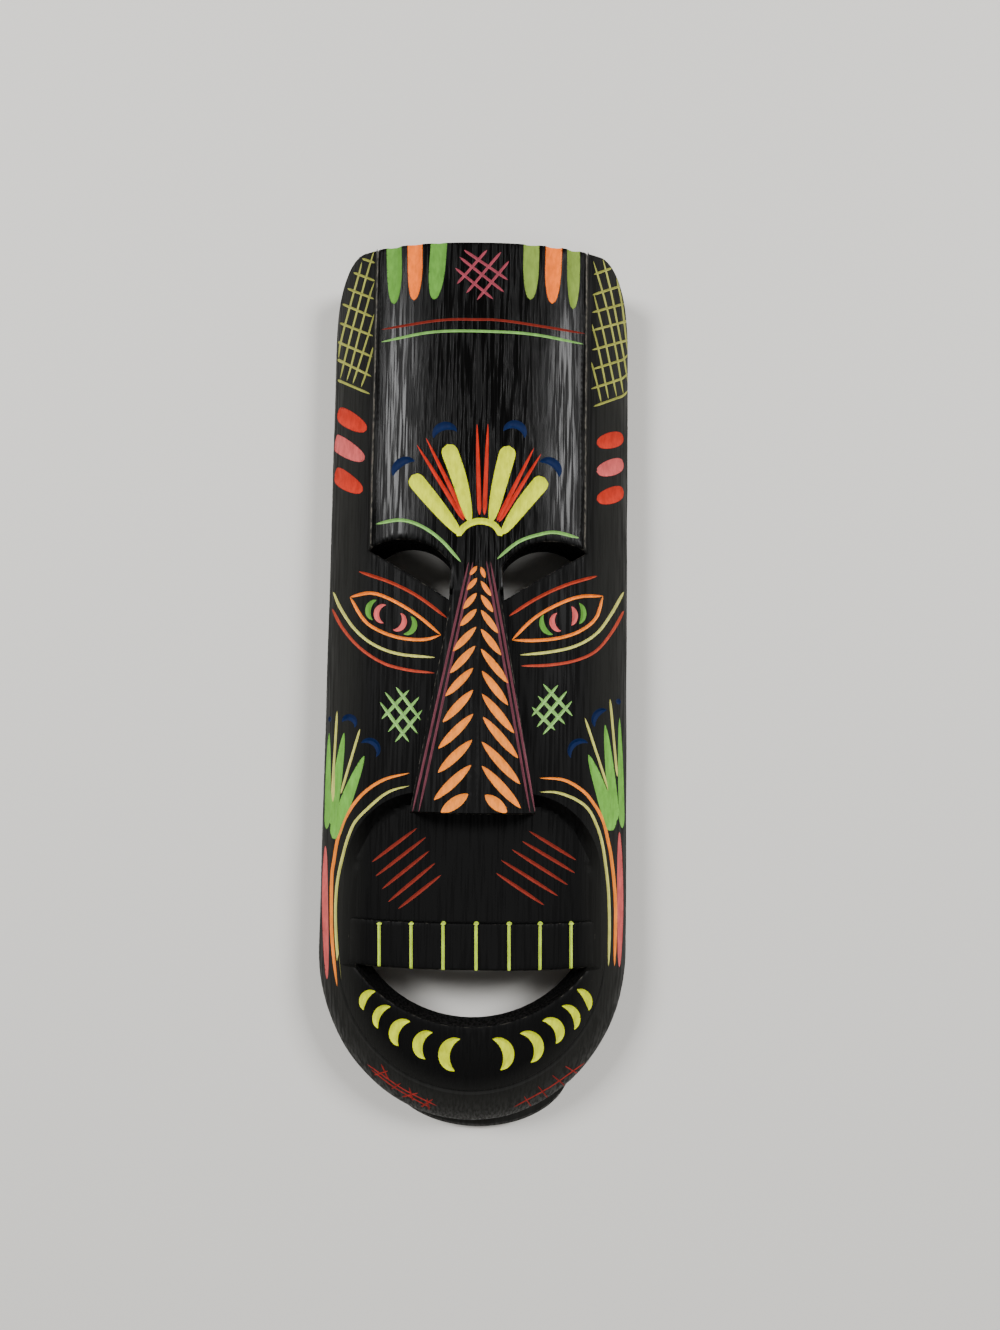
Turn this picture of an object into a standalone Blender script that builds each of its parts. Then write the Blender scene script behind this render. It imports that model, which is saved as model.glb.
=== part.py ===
"""Long wooden mask, carved as one piece from half a log and hollowed from behind.

It lies on its flat back rim: +Z is the way the face looks, +Y is the top of the head and +X is
the viewer's right. Metres. The origin is at the middle of the bounding box's underside.
"""

import math

import bmesh
import bpy
from mathutils import Vector

# The half log: a straight-sided plank with a half-round chin, arched from side to side.
LENGTH = 0.511
WIDTH = 0.180
CROWN = 0.057
SIDE_HEIGHT = 0.012
FULLNESS = 2.3
CHIN_REACH = 0.097
SHOULDER_FLAT = 0.0085
SHOULDER_DROP = 0.049
ARCH_STEPS = 14
CHIN_STEPS = 36
CORNER_STEPS = 10

# The heel: a low lip of the back edge that reaches past the chin, a little to one side.
HEEL_REACH = 0.007
HEEL_WIDTH = 0.108
HEEL_DEPTH = 0.034
HEEL_HEIGHT = 0.009
HEEL_SHIFT = 0.004

# The hollow back.
WALL = 0.020

# The forehead panel, left proud of the cheeks and flanks and sawn a little shorter.
FLANK_WIDTH = 0.0285
PANEL_RISE = 0.006
PANEL_SETBACK = 0.003

# The eyes: half moons cut through under the brows, with a slanting straight lower edge.
BROW_FROM_TOP = 0.175
BROW_PEAK_X = 0.043
EYE_PAST_PANEL = 0.0005
EYE_OUTER_DROP = 0.0045
EYE_INNER_X = 0.014
EYE_ARC_DROP = 0.025
EYE_LOW_X = 0.0155
EYE_LOW_DROP = 0.0335
EYE_NARROWING = 0.008
EYE_STEPS = 12

# The mouth, set out from the lower edge of the teeth.
MOUTH_BELOW_CHIN_CENTRE = 0.0058
MOUTH_INSIDE_RECESS = 0.0075
MOUTH_SAG = 0.0295
MOUTH_NARROWING = 0.008
MOUTH_STEPS = 24
TEETH_HEIGHT = 0.025
TEETH_RISE = 0.003
TOOTH_WIDTH = 0.0183
TOOTH_GROOVES = 7
UPPER_LIP_HEIGHT = 0.061

# The sunk field round the mouth.
CHEEK_RIM = 0.0175
RECESS_DEPTH = 0.009
RECESS_WALL_RUN = 0.0065
RECESS_ABOVE_NOSE_BASE = 0.011
RECESS_CORNER_RUN = 0.045
RECESS_CORNER_DROP = 0.047

# The nose: a long wedge that widens to a flat base.
NOSE_TOP_BELOW_BROW = 0.010
NOSE_TOP_WIDTH = 0.019
NOSE_BASE_WIDTH = 0.069
NOSE_FLARE = 0.002
NOSE_EDGE_RISE = 0.008
NOSE_BASE_RIDGE = 0.072

# Cuts of the carver's gouges that are bold enough to shape the surface.
GROOVE_WIDTH = 0.0030
GROOVE_DEPTH = 0.0014
CREASE_FROM_SIDE = 0.015
CREASE_FROM_CHIN = 0.024
FINGER_WIDTH = 0.0092
FINGER_DEPTH = 0.0018
FINGER_LENGTH = 0.031
FINGER_PLACES = (0.019, 0.033, 0.050)
FAN_WIDTH = 0.0095
FAN_DEPTH = 0.0018
FAN_LENGTH = 0.040
FAN_FEET = ((0.0050, 0.0118, 17.0), (0.0105, 0.0018, 37.0))
LEAF_COUNT = 12
LEAF_WIDTH = 0.0046
LEAF_DEPTH = 0.0012
LEAF_TURN = 135.0
LEAF_SPREAD = 1.3
LEAF_MARGIN = 0.0020

# Room for a cutter to run past what it cuts, and for a solid to root in what carries it.
OVERRUN = 0.012

TOP = LENGTH / 2
BOTTOM = -LENGTH / 2
CHIN_Y = BOTTOM + HEEL_REACH + CHIN_REACH
BROW_Y = TOP - BROW_FROM_TOP
MOUTH_Y = CHIN_Y - MOUTH_BELOW_CHIN_CENTRE
TEETH_TOP = MOUTH_Y + TEETH_HEIGHT
NOSE_BASE_Y = TEETH_TOP + UPPER_LIP_HEIGHT
NOSE_TOP_Y = BROW_Y - NOSE_TOP_BELOW_BROW
RECESS_TOP = NOSE_BASE_Y + RECESS_ABOVE_NOSE_BASE
PANEL_HALF = WIDTH / 2 - FLANK_WIDTH
EYE_OUTER_X = PANEL_HALF + EYE_PAST_PANEL
RECESS_HALF = WIDTH / 2 - CHEEK_RIM
MOUTH_HALF = RECESS_HALF - MOUTH_INSIDE_RECESS
PANEL_CROWN = CROWN + PANEL_RISE
PANEL_TOP = TOP - PANEL_SETBACK
SKY = max(PANEL_CROWN, NOSE_BASE_RIDGE) + OVERRUN


def new_collection(name):
    collection = bpy.data.collections.new(name)
    bpy.context.scene.collection.children.link(collection)
    return collection


def add_object(name, bm, collection):
    """An object at the origin with this mesh, its faces pointing out."""
    bmesh.ops.recalc_face_normals(bm, faces=bm.faces)
    if bm.calc_volume(signed=True) < 0:
        bmesh.ops.reverse_faces(bm, faces=bm.faces)
    mesh = bpy.data.meshes.new(name)
    bm.to_mesh(mesh)
    bm.free()
    obj = bpy.data.objects.new(name, mesh)
    collection.objects.link(obj)
    return obj


def hide_as_tool(obj):
    obj.hide_render = True
    obj.display_type = "WIRE"
    return obj


def loft(name, sections, collection):
    """A closed solid through loops of the same number of points, capped at both ends."""
    bm = bmesh.new()
    loops = [[bm.verts.new(point) for point in section] for section in sections]
    for lower, upper in zip(loops, loops[1:]):
        for index in range(len(lower)):
            after = (index + 1) % len(lower)
            bm.faces.new((lower[index], lower[after], upper[after], upper[index]))
    bm.faces.new(reversed(loops[0]))
    bm.faces.new(loops[-1])
    return add_object(name, bm, collection)


def at_height(outline, height):
    return [(x, y, height) for x, y in outline]


def prism(name, outline, low, high, collection):
    return loft(name, [at_height(outline, low), at_height(outline, high)], collection)


def combine(target, operation, tool):
    """One step of the carving, left on the object as a modifier."""
    modifier = target.modifiers.new(f"{operation.lower()} {tool.name}", "BOOLEAN")
    modifier.operation = operation
    modifier.solver = "EXACT"
    modifier.object = tool


def mirrored(points):
    return [(-x, y) for x, y in points]


def surface_height(x, y):
    """Height of the arched log at a place, before anything is cut into it."""
    along = max(CHIN_Y - y, 0.0) / CHIN_REACH
    share = min(math.hypot(x / (WIDTH / 2), along), 1.0)
    return SIDE_HEIGHT + (CROWN - SIDE_HEIGHT) * math.sqrt(1 - share**FULLNESS)


def plank_outline(half_width, reach, top):
    """Straight sides and a half-ellipse chin, from the top right corner round to the top left."""
    points = [(half_width, top)]
    for step in range(CHIN_STEPS + 1):
        angle = -math.pi * step / CHIN_STEPS
        points.append((half_width * math.cos(angle), CHIN_Y + reach * math.sin(angle)))
    points.append((-half_width, top))
    return points


def arched_log(name, base, side, crown, half_width, reach, top, collection):
    """The half log, or the hollow inside it: the same plank outline shrunk level by level."""
    sections = [at_height(plank_outline(half_width, reach, top), base)]
    for step in range(ARCH_STEPS):
        angle = math.pi / 2 * (1 - step / ARCH_STEPS)
        share = math.sin(angle) ** (2 / FULLNESS)
        level = side + (crown - side) * math.cos(angle)
        sections.append(at_height(plank_outline(half_width * share, reach * share, top), level))
    return loft(name, sections, collection)


def lifted_log(name, lift, base, top, collection):
    """The log's own arch raised or lowered as a whole, to carry a level of the carving."""
    return arched_log(
        name, base, SIDE_HEIGHT + lift, CROWN + lift, WIDTH / 2, CHIN_REACH, top, collection
    )


def shoulder_cutter(collection):
    """Everything above the sawn top edge and outside the rounded shoulders, in plan."""
    half = WIDTH / 2
    run = FLANK_WIDTH - SHOULDER_FLAT
    arc = []
    for step in range(CORNER_STEPS + 1):
        angle = math.pi / 2 * step / CORNER_STEPS
        x = half - run * (1 - math.cos(angle))
        y = TOP - SHOULDER_DROP * (1 - math.sin(angle))
        arc.append((x, y))
    notch = [(PANEL_HALF, TOP), (PANEL_HALF, PANEL_TOP)]
    outline = [(half + OVERRUN, TOP - SHOULDER_DROP)] + arc + notch
    outline += list(reversed(mirrored(arc + notch)))
    outline += [(-half - OVERRUN, TOP - SHOULDER_DROP), (-half - OVERRUN, TOP + 3 * OVERRUN)]
    outline += [(half + OVERRUN, TOP + 3 * OVERRUN)]
    return prism("shoulder cutter", outline, -2 * OVERRUN, SKY, collection)


def heel_solid(collection):
    """The low lip at the back edge of the chin, sloping up to meet the chin above it."""
    outline = []
    for step in range(CHIN_STEPS):
        angle = 2 * math.pi * step / CHIN_STEPS
        x = HEEL_SHIFT + HEEL_WIDTH / 2 * math.cos(angle)
        outline.append((x, BOTTOM + HEEL_DEPTH * (1 + math.sin(angle))))
    shrunk = [(x, y + HEEL_REACH * 0.4) for x, y in outline]
    sections = [
        at_height(outline, -OVERRUN / 2),
        at_height(outline, HEEL_HEIGHT * 0.7),
        at_height(shrunk, HEEL_HEIGHT),
    ]
    return loft("heel", sections, collection)


def back_cutter(collection):
    """A block under the flat back rim."""
    half = WIDTH / 2 + OVERRUN
    low, high = BOTTOM - OVERRUN, TOP + 4 * OVERRUN
    outline = [(-half, low), (half, low), (half, high), (-half, high)]
    return prism("back cutter", outline, -4 * OVERRUN, 0.0, collection)


def hollow_cutter(collection):
    return arched_log(
        "hollow", -OVERRUN, 0.0, CROWN - WALL, WIDTH / 2 - WALL, CHIN_REACH - WALL,
        TOP - WALL, collection,
    )


def brow_arc():
    """The right brow from its outer corner over the peak to its inner end, in plan."""
    points = []
    for step in range(EYE_STEPS):
        along = 1 - step / EYE_STEPS
        x = BROW_PEAK_X + (EYE_OUTER_X - BROW_PEAK_X) * along
        points.append((x, BROW_Y - EYE_OUTER_DROP * along**2))
    run = (BROW_PEAK_X - EYE_INNER_X) * 1.07
    last = math.acos(min(1.0, (BROW_PEAK_X - EYE_INNER_X) / run))
    for step in range(EYE_STEPS + 1):
        angle = math.pi / 2 + (math.pi / 2 - last) * step / EYE_STEPS
        x = BROW_PEAK_X + run * math.cos(angle)
        points.append((x, BROW_Y - EYE_ARC_DROP * (1 - math.sin(angle))))
    return points


def eye_outline(narrowing):
    """One eye in plan. Narrowing draws its outer corner in and its brow down."""
    low_corner = (EYE_LOW_X, BROW_Y - EYE_LOW_DROP)
    arc = brow_arc()
    span = EYE_OUTER_X - EYE_INNER_X
    squeezed = []
    for x, y in arc:
        share = (x - EYE_INNER_X) / span
        squeezed.append((x - narrowing * share, y - narrowing * (0.25 + 0.5 * share)))
    return squeezed + [low_corner]


def eye_cutter(name, side, collection):
    """An eye hole: upright at the front, narrowing towards the hollow."""
    front, back = eye_outline(0.0), eye_outline(EYE_NARROWING)
    if side < 0:
        front, back = mirrored(front), mirrored(back)
    upright_from = CROWN - WALL
    sections = [
        at_height(back, -OVERRUN),
        at_height(back, 0.0),
        at_height(front, upright_from),
        at_height(front, SKY),
    ]
    return loft(name, sections, collection)


def panel_solid(collection):
    """The forehead panel, whose lower edge runs inside the eye holes."""
    half = PANEL_HALF
    corner_y = BROW_Y - EYE_OUTER_DROP + 0.0012
    foot_y = BROW_Y - (EYE_ARC_DROP + EYE_LOW_DROP) / 2
    outline = [(half, TOP + 2 * OVERRUN), (half, corner_y), (EYE_LOW_X, foot_y)]
    outline += [(-EYE_LOW_X, foot_y), (-half, corner_y), (-half, TOP + 2 * OVERRUN)]
    panel = prism("panel", outline, SIDE_HEIGHT, SKY, collection)
    level = lifted_log("panel level", PANEL_RISE, 0.0, TOP + 3 * OVERRUN, collection)
    combine(panel, "INTERSECT", level)
    return panel


def recess_outline(inset):
    """Upright sides and an arched top round the mouth, drawn in evenly by the inset."""
    half = RECESS_HALF - inset
    top = RECESS_TOP - inset
    points = [(half, MOUTH_Y - OVERRUN)]
    for step in range(CORNER_STEPS + 1):
        angle = math.pi / 2 * step / CORNER_STEPS
        x = half - RECESS_CORNER_RUN * (1 - math.cos(angle))
        y = top - RECESS_CORNER_DROP * (1 - math.sin(angle))
        points.append((x, y))
    return points + list(reversed(mirrored(points)))


def recess_cutter(collection):
    """The sunk field: sloping walls down to a floor that follows the log's arch."""
    outer, inner = recess_outline(0.0), recess_outline(RECESS_WALL_RUN)
    sections = [
        at_height(inner, 0.0),
        [(x, y, surface_height(x, y) - RECESS_DEPTH) for x, y in inner],
        [(x, y, surface_height(x, y)) for x, y in outer],
        at_height(outer, SKY),
    ]
    cutter = loft("recess cutter", sections, collection)
    floor = lifted_log("recess floor", -RECESS_DEPTH, -2 * OVERRUN, TOP, collection)
    combine(cutter, "DIFFERENCE", floor)
    below = -OVERRUN
    outline = [(-WIDTH, MOUTH_Y - 2 * OVERRUN), (WIDTH, MOUTH_Y - 2 * OVERRUN)]
    outline += [(WIDTH, MOUTH_Y), (-WIDTH, MOUTH_Y)]
    stop = prism("recess end", outline, below, SKY + OVERRUN, collection)
    combine(cutter, "DIFFERENCE", stop)
    return cutter


def teeth_solid(collection):
    """The bar of teeth across the sunk field, running a little past the mouth's edge."""
    half = RECESS_HALF - RECESS_WALL_RUN / 2
    low = MOUTH_Y - OVERRUN / 2
    outline = [(-half, low), (half, low), (half, TEETH_TOP), (-half, TEETH_TOP)]
    teeth = prism("teeth", outline, SIDE_HEIGHT, SKY, collection)
    level = lifted_log("teeth level", TEETH_RISE - RECESS_DEPTH, 0.0, TOP, collection)
    combine(teeth, "INTERSECT", level)
    return teeth


def mouth_outline(narrowing):
    """A straight edge under the teeth and an arc of a circle below it."""
    half = MOUTH_HALF - narrowing
    sag = MOUTH_SAG - narrowing / 2
    radius = (half**2 + sag**2) / (2 * sag)
    spread = math.asin(min(1.0, half / radius))
    points = []
    for step in range(MOUTH_STEPS + 1):
        angle = spread * (1 - 2 * step / MOUTH_STEPS)
        drop = radius * math.cos(angle) - (radius - sag)
        points.append((radius * math.sin(angle), MOUTH_Y - drop))
    return points


def mouth_cutter(collection):
    front, back = mouth_outline(0.0), mouth_outline(MOUTH_NARROWING)
    sections = [
        at_height(back, -OVERRUN),
        at_height(back, 0.0),
        at_height(front, CROWN - WALL),
        at_height(front, SKY),
    ]
    return loft("mouth cutter", sections, collection)


def nose_section(width, y, edge, ridge):
    """One cross-section of the nose, rooted below the cheeks."""
    half = width / 2
    root = SIDE_HEIGHT
    return [
        (-half - NOSE_FLARE, y, root),
        (half + NOSE_FLARE, y, root),
        (half, y, edge),
        (0.0, y, ridge),
        (-half, y, edge),
    ]


def nose_half_width(y):
    along = (y - NOSE_BASE_Y) / (NOSE_TOP_Y - NOSE_BASE_Y)
    return (NOSE_BASE_WIDTH + (NOSE_TOP_WIDTH - NOSE_BASE_WIDTH) * along) / 2


def nose_edges():
    """Heights of the nose's edges at its base and at its top."""
    base_edge = surface_height(NOSE_BASE_WIDTH / 2, NOSE_BASE_Y) + NOSE_EDGE_RISE
    top_edge = surface_height(NOSE_TOP_WIDTH / 2, NOSE_TOP_Y) + PANEL_RISE
    return base_edge, top_edge


def nose_solid(collection):
    base_edge, top_edge = nose_edges()
    sections = [
        nose_section(NOSE_BASE_WIDTH, NOSE_BASE_Y, base_edge, NOSE_BASE_RIDGE),
        nose_section(NOSE_TOP_WIDTH, NOSE_TOP_Y, top_edge, PANEL_CROWN),
    ]
    return loft("nose", sections, collection)


def swept_groove(name, points, collection):
    """A diamond-shaped bar along a path on the surface, to cut a V groove."""
    curve = bpy.data.curves.new(name, "CURVE")
    curve.dimensions = "3D"
    spline = curve.splines.new("POLY")
    spline.points.add(len(points) - 1)
    for place, point in zip(spline.points, points):
        place.co = (*point, 1.0)
    curve.bevel_depth = GROOVE_WIDTH / 2
    curve.bevel_resolution = 0
    curve.use_fill_caps = True
    guide = bpy.data.objects.new(name, curve)
    collection.objects.link(guide)
    bpy.context.view_layer.update()
    evaluated = guide.evaluated_get(bpy.context.evaluated_depsgraph_get())
    mesh = bpy.data.meshes.new_from_object(evaluated)
    bpy.data.objects.remove(guide)
    bm = bmesh.new()
    bm.from_mesh(mesh)
    bmesh.ops.remove_doubles(bm, verts=bm.verts, dist=0.00001)
    return add_object(name, bm, collection)


def crease_cutter(collection):
    """The dark line that parts the chin's face from the band below it."""
    points = []
    sink = GROOVE_WIDTH / 2 - GROOVE_DEPTH
    for step in range(CHIN_STEPS + 1):
        angle = -math.pi * step / CHIN_STEPS
        x = (WIDTH / 2 - CREASE_FROM_SIDE) * math.cos(angle)
        y = CHIN_Y + (CHIN_REACH - CREASE_FROM_CHIN) * math.sin(angle)
        points.append((x, y, surface_height(x, y) + sink))
    return swept_groove("crease", points, collection)


def tooth_cutters(collection):
    """The upright grooves that part one tooth from the next."""
    cutters = []
    for index in range(TOOTH_GROOVES):
        x = (index - (TOOTH_GROOVES - 1) / 2) * TOOTH_WIDTH
        height = surface_height(x, TEETH_TOP) - RECESS_DEPTH + TEETH_RISE
        height += GROOVE_WIDTH / 2 - GROOVE_DEPTH
        ends = [(x, TEETH_TOP - GROOVE_WIDTH / 2, height), (x, MOUTH_Y - OVERRUN / 3, height)]
        cutters.append(swept_groove(f"tooth groove {index + 1}", ends, collection))
    return cutters


def panel_height(x, y):
    return surface_height(x, y) + PANEL_RISE


def nose_height(x, y):
    """Height of the nose's two slopes, which rise straight from their edges to the ridge."""
    base_edge, top_edge = nose_edges()
    along = (y - NOSE_BASE_Y) / (NOSE_TOP_Y - NOSE_BASE_Y)
    edge = base_edge + (top_edge - base_edge) * along
    ridge = NOSE_BASE_RIDGE + (PANEL_CROWN - NOSE_BASE_RIDGE) * along
    return ridge - (ridge - edge) * abs(x) / nose_half_width(y)


def gouge_cutter(name, middle, turn_degrees, size, height_at, collection):
    """A long round-bottomed gouge cut: a stretched sphere that dips into the surface."""
    length, width, depth = size
    radius = ((width / 2) ** 2 + depth**2) / (2 * depth)
    stretch = length / 2 / math.sqrt(1 - (1 - depth / radius) ** 2)
    turn = math.radians(turn_degrees)
    x, y = middle
    probe = 0.001
    slope_x = (height_at(x + probe, y) - height_at(x - probe, y)) / (2 * probe)
    slope_y = (height_at(x, y + probe) - height_at(x, y - probe)) / (2 * probe)
    out = Vector((-slope_x, -slope_y, 1.0)).normalized()
    step_x, step_y = math.sin(turn), math.cos(turn)
    along = Vector((step_x, step_y, slope_x * step_x + slope_y * step_y)).normalized()
    across = along.cross(out)
    place = Vector((x, y, height_at(x, y))) + out * (radius - depth)
    bm = bmesh.new()
    bmesh.ops.create_uvsphere(bm, u_segments=20, v_segments=12, radius=1.0)
    for vert in bm.verts:
        local = vert.co.copy()
        vert.co = place + across * local.x * radius + out * local.y * radius
        vert.co += along * local.z * stretch
    return add_object(name, bm, collection)


def forehead_gouges(collection):
    """Finger-shaped cuts down from the top edge, and the fan of four over the nose."""
    cutters = []
    for side in (-1, 1):
        size = (2 * FINGER_LENGTH, FINGER_WIDTH, FINGER_DEPTH)
        for index, place in enumerate(FINGER_PLACES):
            name = f"finger {side * (index + 1)}"
            middle = (side * place, PANEL_TOP)
            cutters.append(gouge_cutter(name, middle, 0.0, size, panel_height, collection))
        size = (FAN_LENGTH, FAN_WIDTH, FAN_DEPTH)
        for index, (x, rise, turn) in enumerate(FAN_FEET):
            name = f"fan {side * (index + 1)}"
            reach_x = x + FAN_LENGTH / 2 * math.sin(math.radians(turn))
            reach_y = BROW_Y + rise + FAN_LENGTH / 2 * math.cos(math.radians(turn))
            middle = (side * reach_x, reach_y)
            cutters.append(gouge_cutter(name, middle, side * turn, size, panel_height, collection))
    return cutters


def nose_leaves(collection):
    """The herringbone of slanting leaves down both slopes of the nose, longer towards its base."""
    cutters = []
    slant = math.radians(LEAF_TURN)
    for side in (-1, 1):
        for index in range(LEAF_COUNT):
            share = ((index + 1) / (LEAF_COUNT + 1)) ** LEAF_SPREAD
            y = NOSE_TOP_Y + (NOSE_BASE_Y - NOSE_TOP_Y) * share
            reach = nose_half_width(y) - 2 * LEAF_MARGIN
            middle = (side * (LEAF_MARGIN / 2 + reach / 2), y)
            size = (0.85 * reach / math.sin(slant), LEAF_WIDTH, LEAF_DEPTH)
            name = f"leaf {side * (index + 1)}"
            cutters.append(
                gouge_cutter(name, middle, side * LEAF_TURN, size, nose_height, collection)
            )
    return cutters


def black_paint():
    """Glossy black paint over open-grained wood."""
    material = bpy.data.materials.new("black painted wood")
    material.use_nodes = True
    shader = material.node_tree.nodes["Principled BSDF"]
    shader.inputs["Base Color"].default_value = (0.006, 0.006, 0.006, 1.0)
    shader.inputs["Roughness"].default_value = 0.4
    shader.inputs["Metallic"].default_value = 0.0
    return material


for leftover in list(bpy.data.objects):
    bpy.data.objects.remove(leftover)

work = new_collection("wooden mask")
tools = new_collection("cutters")

mask = lifted_log("mask", 0.0, -OVERRUN / 2 - 0.001, TOP + OVERRUN, work)
steps = [("UNION", heel_solid(tools)), ("UNION", panel_solid(tools))]
steps += [("DIFFERENCE", recess_cutter(tools)), ("UNION", nose_solid(tools))]
steps += [("UNION", teeth_solid(tools))]
steps += [("DIFFERENCE", cutter) for cutter in tooth_cutters(tools)]
steps += [("DIFFERENCE", crease_cutter(tools))]
steps += [("DIFFERENCE", cutter) for cutter in forehead_gouges(tools)]
steps += [("DIFFERENCE", cutter) for cutter in nose_leaves(tools)]
steps += [("DIFFERENCE", eye_cutter("left eye cutter", -1, tools))]
steps += [("DIFFERENCE", eye_cutter("right eye cutter", 1, tools))]
steps += [("DIFFERENCE", mouth_cutter(tools)), ("DIFFERENCE", hollow_cutter(tools))]
steps += [("DIFFERENCE", shoulder_cutter(tools)), ("DIFFERENCE", back_cutter(tools))]
for operation, tool in steps:
    combine(mask, operation, tool)
for tool in tools.objects:
    hide_as_tool(tool)

mask.data.materials.append(black_paint())
mask.data.shade_smooth()
mask.data.set_sharp_from_angle(angle=math.radians(30))
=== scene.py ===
"""Long wooden mask, carved as one piece from half a log, painted black and cut through with gouges
in strokes that are painted in bright acrylics. It lies on its hollow back, face up. Metres."""

import math

import bmesh
import bpy
import numpy as np
from mathutils import Matrix, Vector, noise
from mathutils.geometry import delaunay_2d_cdt
from mathutils.kdtree import KDTree


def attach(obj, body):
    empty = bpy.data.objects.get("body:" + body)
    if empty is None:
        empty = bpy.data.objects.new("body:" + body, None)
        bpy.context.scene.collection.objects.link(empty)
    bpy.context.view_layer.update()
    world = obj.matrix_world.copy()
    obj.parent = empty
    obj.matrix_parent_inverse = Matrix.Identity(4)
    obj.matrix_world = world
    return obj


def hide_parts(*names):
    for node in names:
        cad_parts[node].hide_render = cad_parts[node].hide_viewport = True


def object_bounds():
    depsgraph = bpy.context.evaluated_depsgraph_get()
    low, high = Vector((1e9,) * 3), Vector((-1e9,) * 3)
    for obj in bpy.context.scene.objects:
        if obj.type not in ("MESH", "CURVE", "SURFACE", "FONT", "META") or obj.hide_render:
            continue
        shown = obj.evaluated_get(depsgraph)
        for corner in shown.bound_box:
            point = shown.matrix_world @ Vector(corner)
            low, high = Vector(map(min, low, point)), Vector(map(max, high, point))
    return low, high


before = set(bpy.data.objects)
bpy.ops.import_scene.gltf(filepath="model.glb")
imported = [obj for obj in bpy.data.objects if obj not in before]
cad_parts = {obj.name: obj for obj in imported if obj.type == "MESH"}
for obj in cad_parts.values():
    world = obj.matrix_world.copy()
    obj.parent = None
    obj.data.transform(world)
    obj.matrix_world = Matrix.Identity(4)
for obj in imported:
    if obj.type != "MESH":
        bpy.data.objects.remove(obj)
cad_low, cad_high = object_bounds()
MM = 0.001

# The photographer's place: a phone camera 0.57 m over the face, a little below its middle and
# tilted a few degrees. Strokes are set out along its lines of sight to the carved surface.
PHOTO_WIDTH = 1000
PHOTO_HEIGHT = 1330
FOCAL_PIXELS = 1000.0
SENSOR = 36.0
TILT = math.radians(4.98)
ROLL = math.radians(0.83)
EYE = Vector((13.68, -37.76, 611.45)) * MM

look_way = Vector((0, math.sin(TILT), -math.cos(TILT)))
level_right = Vector((1, 0, 0))
level_up = Vector((0, math.cos(TILT), math.sin(TILT)))
photo_right = math.cos(ROLL) * level_right + math.sin(ROLL) * level_up
photo_up = math.cos(ROLL) * level_up - math.sin(ROLL) * level_right

camera = bpy.data.objects.new("camera", bpy.data.cameras.new("camera"))
camera.data.sensor_width = SENSOR
camera.data.lens = SENSOR * FOCAL_PIXELS / PHOTO_HEIGHT
camera.data.clip_start = 0.05
turn = Matrix((photo_right, photo_up, -look_way)).transposed()
camera.matrix_world = Matrix.Translation(EYE) @ turn.to_4x4()
bpy.context.scene.collection.objects.link(camera)
bpy.context.scene.camera = camera


# The half log: a straight-sided plank with a half-round chin, arched from side to side, its two
# top corners sawn to rounded shoulders and a low heel left at the back edge of the chin.
TOP = cad_high.y
BOTTOM = cad_low.y
HALF = cad_high.x
CROWN = 57 * MM
SIDE_HEIGHT = 12 * MM
FULLNESS = 2.3
CHIN_REACH = 97 * MM
HEEL_REACH = 7 * MM
HEEL_HALF = 54 * MM
HEEL_DEPTH = 34 * MM
HEEL_HEIGHT = 9 * MM
HEEL_SHIFT = 4 * MM
FLANK = 28.5 * MM
SHOULDER_FLAT = 8.5 * MM
SHOULDER_DROP = 49 * MM
PANEL_SETBACK = 3 * MM
SAW_SLANT = 0.6 * MM
CHIN_Y = BOTTOM + HEEL_REACH + CHIN_REACH
PANEL_HALF = HALF - FLANK
PANEL_TOP = TOP - PANEL_SETBACK


def arc_table(half, rise):
    """Shares of the half width, and the length over the arch from its crown out to each."""
    angle = np.linspace(0, math.pi / 2, 1500)
    share = np.sin(angle) ** (2 / FULLNESS)
    steps = np.hypot(np.diff(share) * half, np.diff(np.cos(angle)) * rise)
    return share, np.concatenate([[0], np.cumsum(steps)]) / half


class Arch:
    """A plank's arch that can be unrolled to a flat sheet, so that its steep flanks keep their
    true size there."""

    def __init__(self, half, reach, side, crown):
        self.half = half
        self.reach = reach
        self.side = side
        self.rise = crown - side
        self.share, self.length = arc_table(half, self.rise)

    def place(self, xy):
        """Distance across, distance past the chin's centre, and share of the half width."""
        across = xy[..., 0] / self.half
        past = np.minimum(xy[..., 1] - CHIN_Y, 0) / self.reach
        return across, past, np.hypot(across, past)

    def height(self, xy):
        share = np.minimum(self.place(xy)[2], 1)
        return self.side + self.rise * np.sqrt(1 - share**FULLNESS)

    def moved(self, xy, source, target):
        across, past, share = self.place(xy)
        new = np.interp(share, source, target) + np.maximum(share - source[-1], 0)
        factor = np.where(share > 1e-9, new / np.maximum(share, 1e-9), 1)
        out = np.empty_like(xy)
        out[..., 0] = xy[..., 0] * factor
        below = xy[..., 1] < CHIN_Y
        out[..., 1] = np.where(below, CHIN_Y + past * self.reach * factor, xy[..., 1])
        return out

    def kept_within(self, xy, most):
        """The points, with any past a share of the way out to the side brought in to it."""
        factor = np.minimum(1, most / np.maximum(self.place(xy)[2], 1e-9))
        past = xy[:, 1] - CHIN_Y
        return np.stack([xy[:, 0] * factor, CHIN_Y + np.where(past < 0, past * factor, past)], 1)

    def unroll(self, xy):
        return self.moved(xy, self.share, self.length)

    def roll(self, uv):
        return self.moved(uv, self.length, self.share)


log = Arch(HALF, CHIN_REACH, SIDE_HEIGHT, CROWN)


def mirrored(points):
    return [(-x, y) for x, y in points]


def chin_arc(half, reach, steps=120):
    """The half-ellipse chin from its left end round to its right end."""
    angles = [-math.pi + math.pi * step / steps for step in range(steps + 1)]
    return [(half * math.cos(angle), CHIN_Y + reach * math.sin(angle)) for angle in angles]


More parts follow.
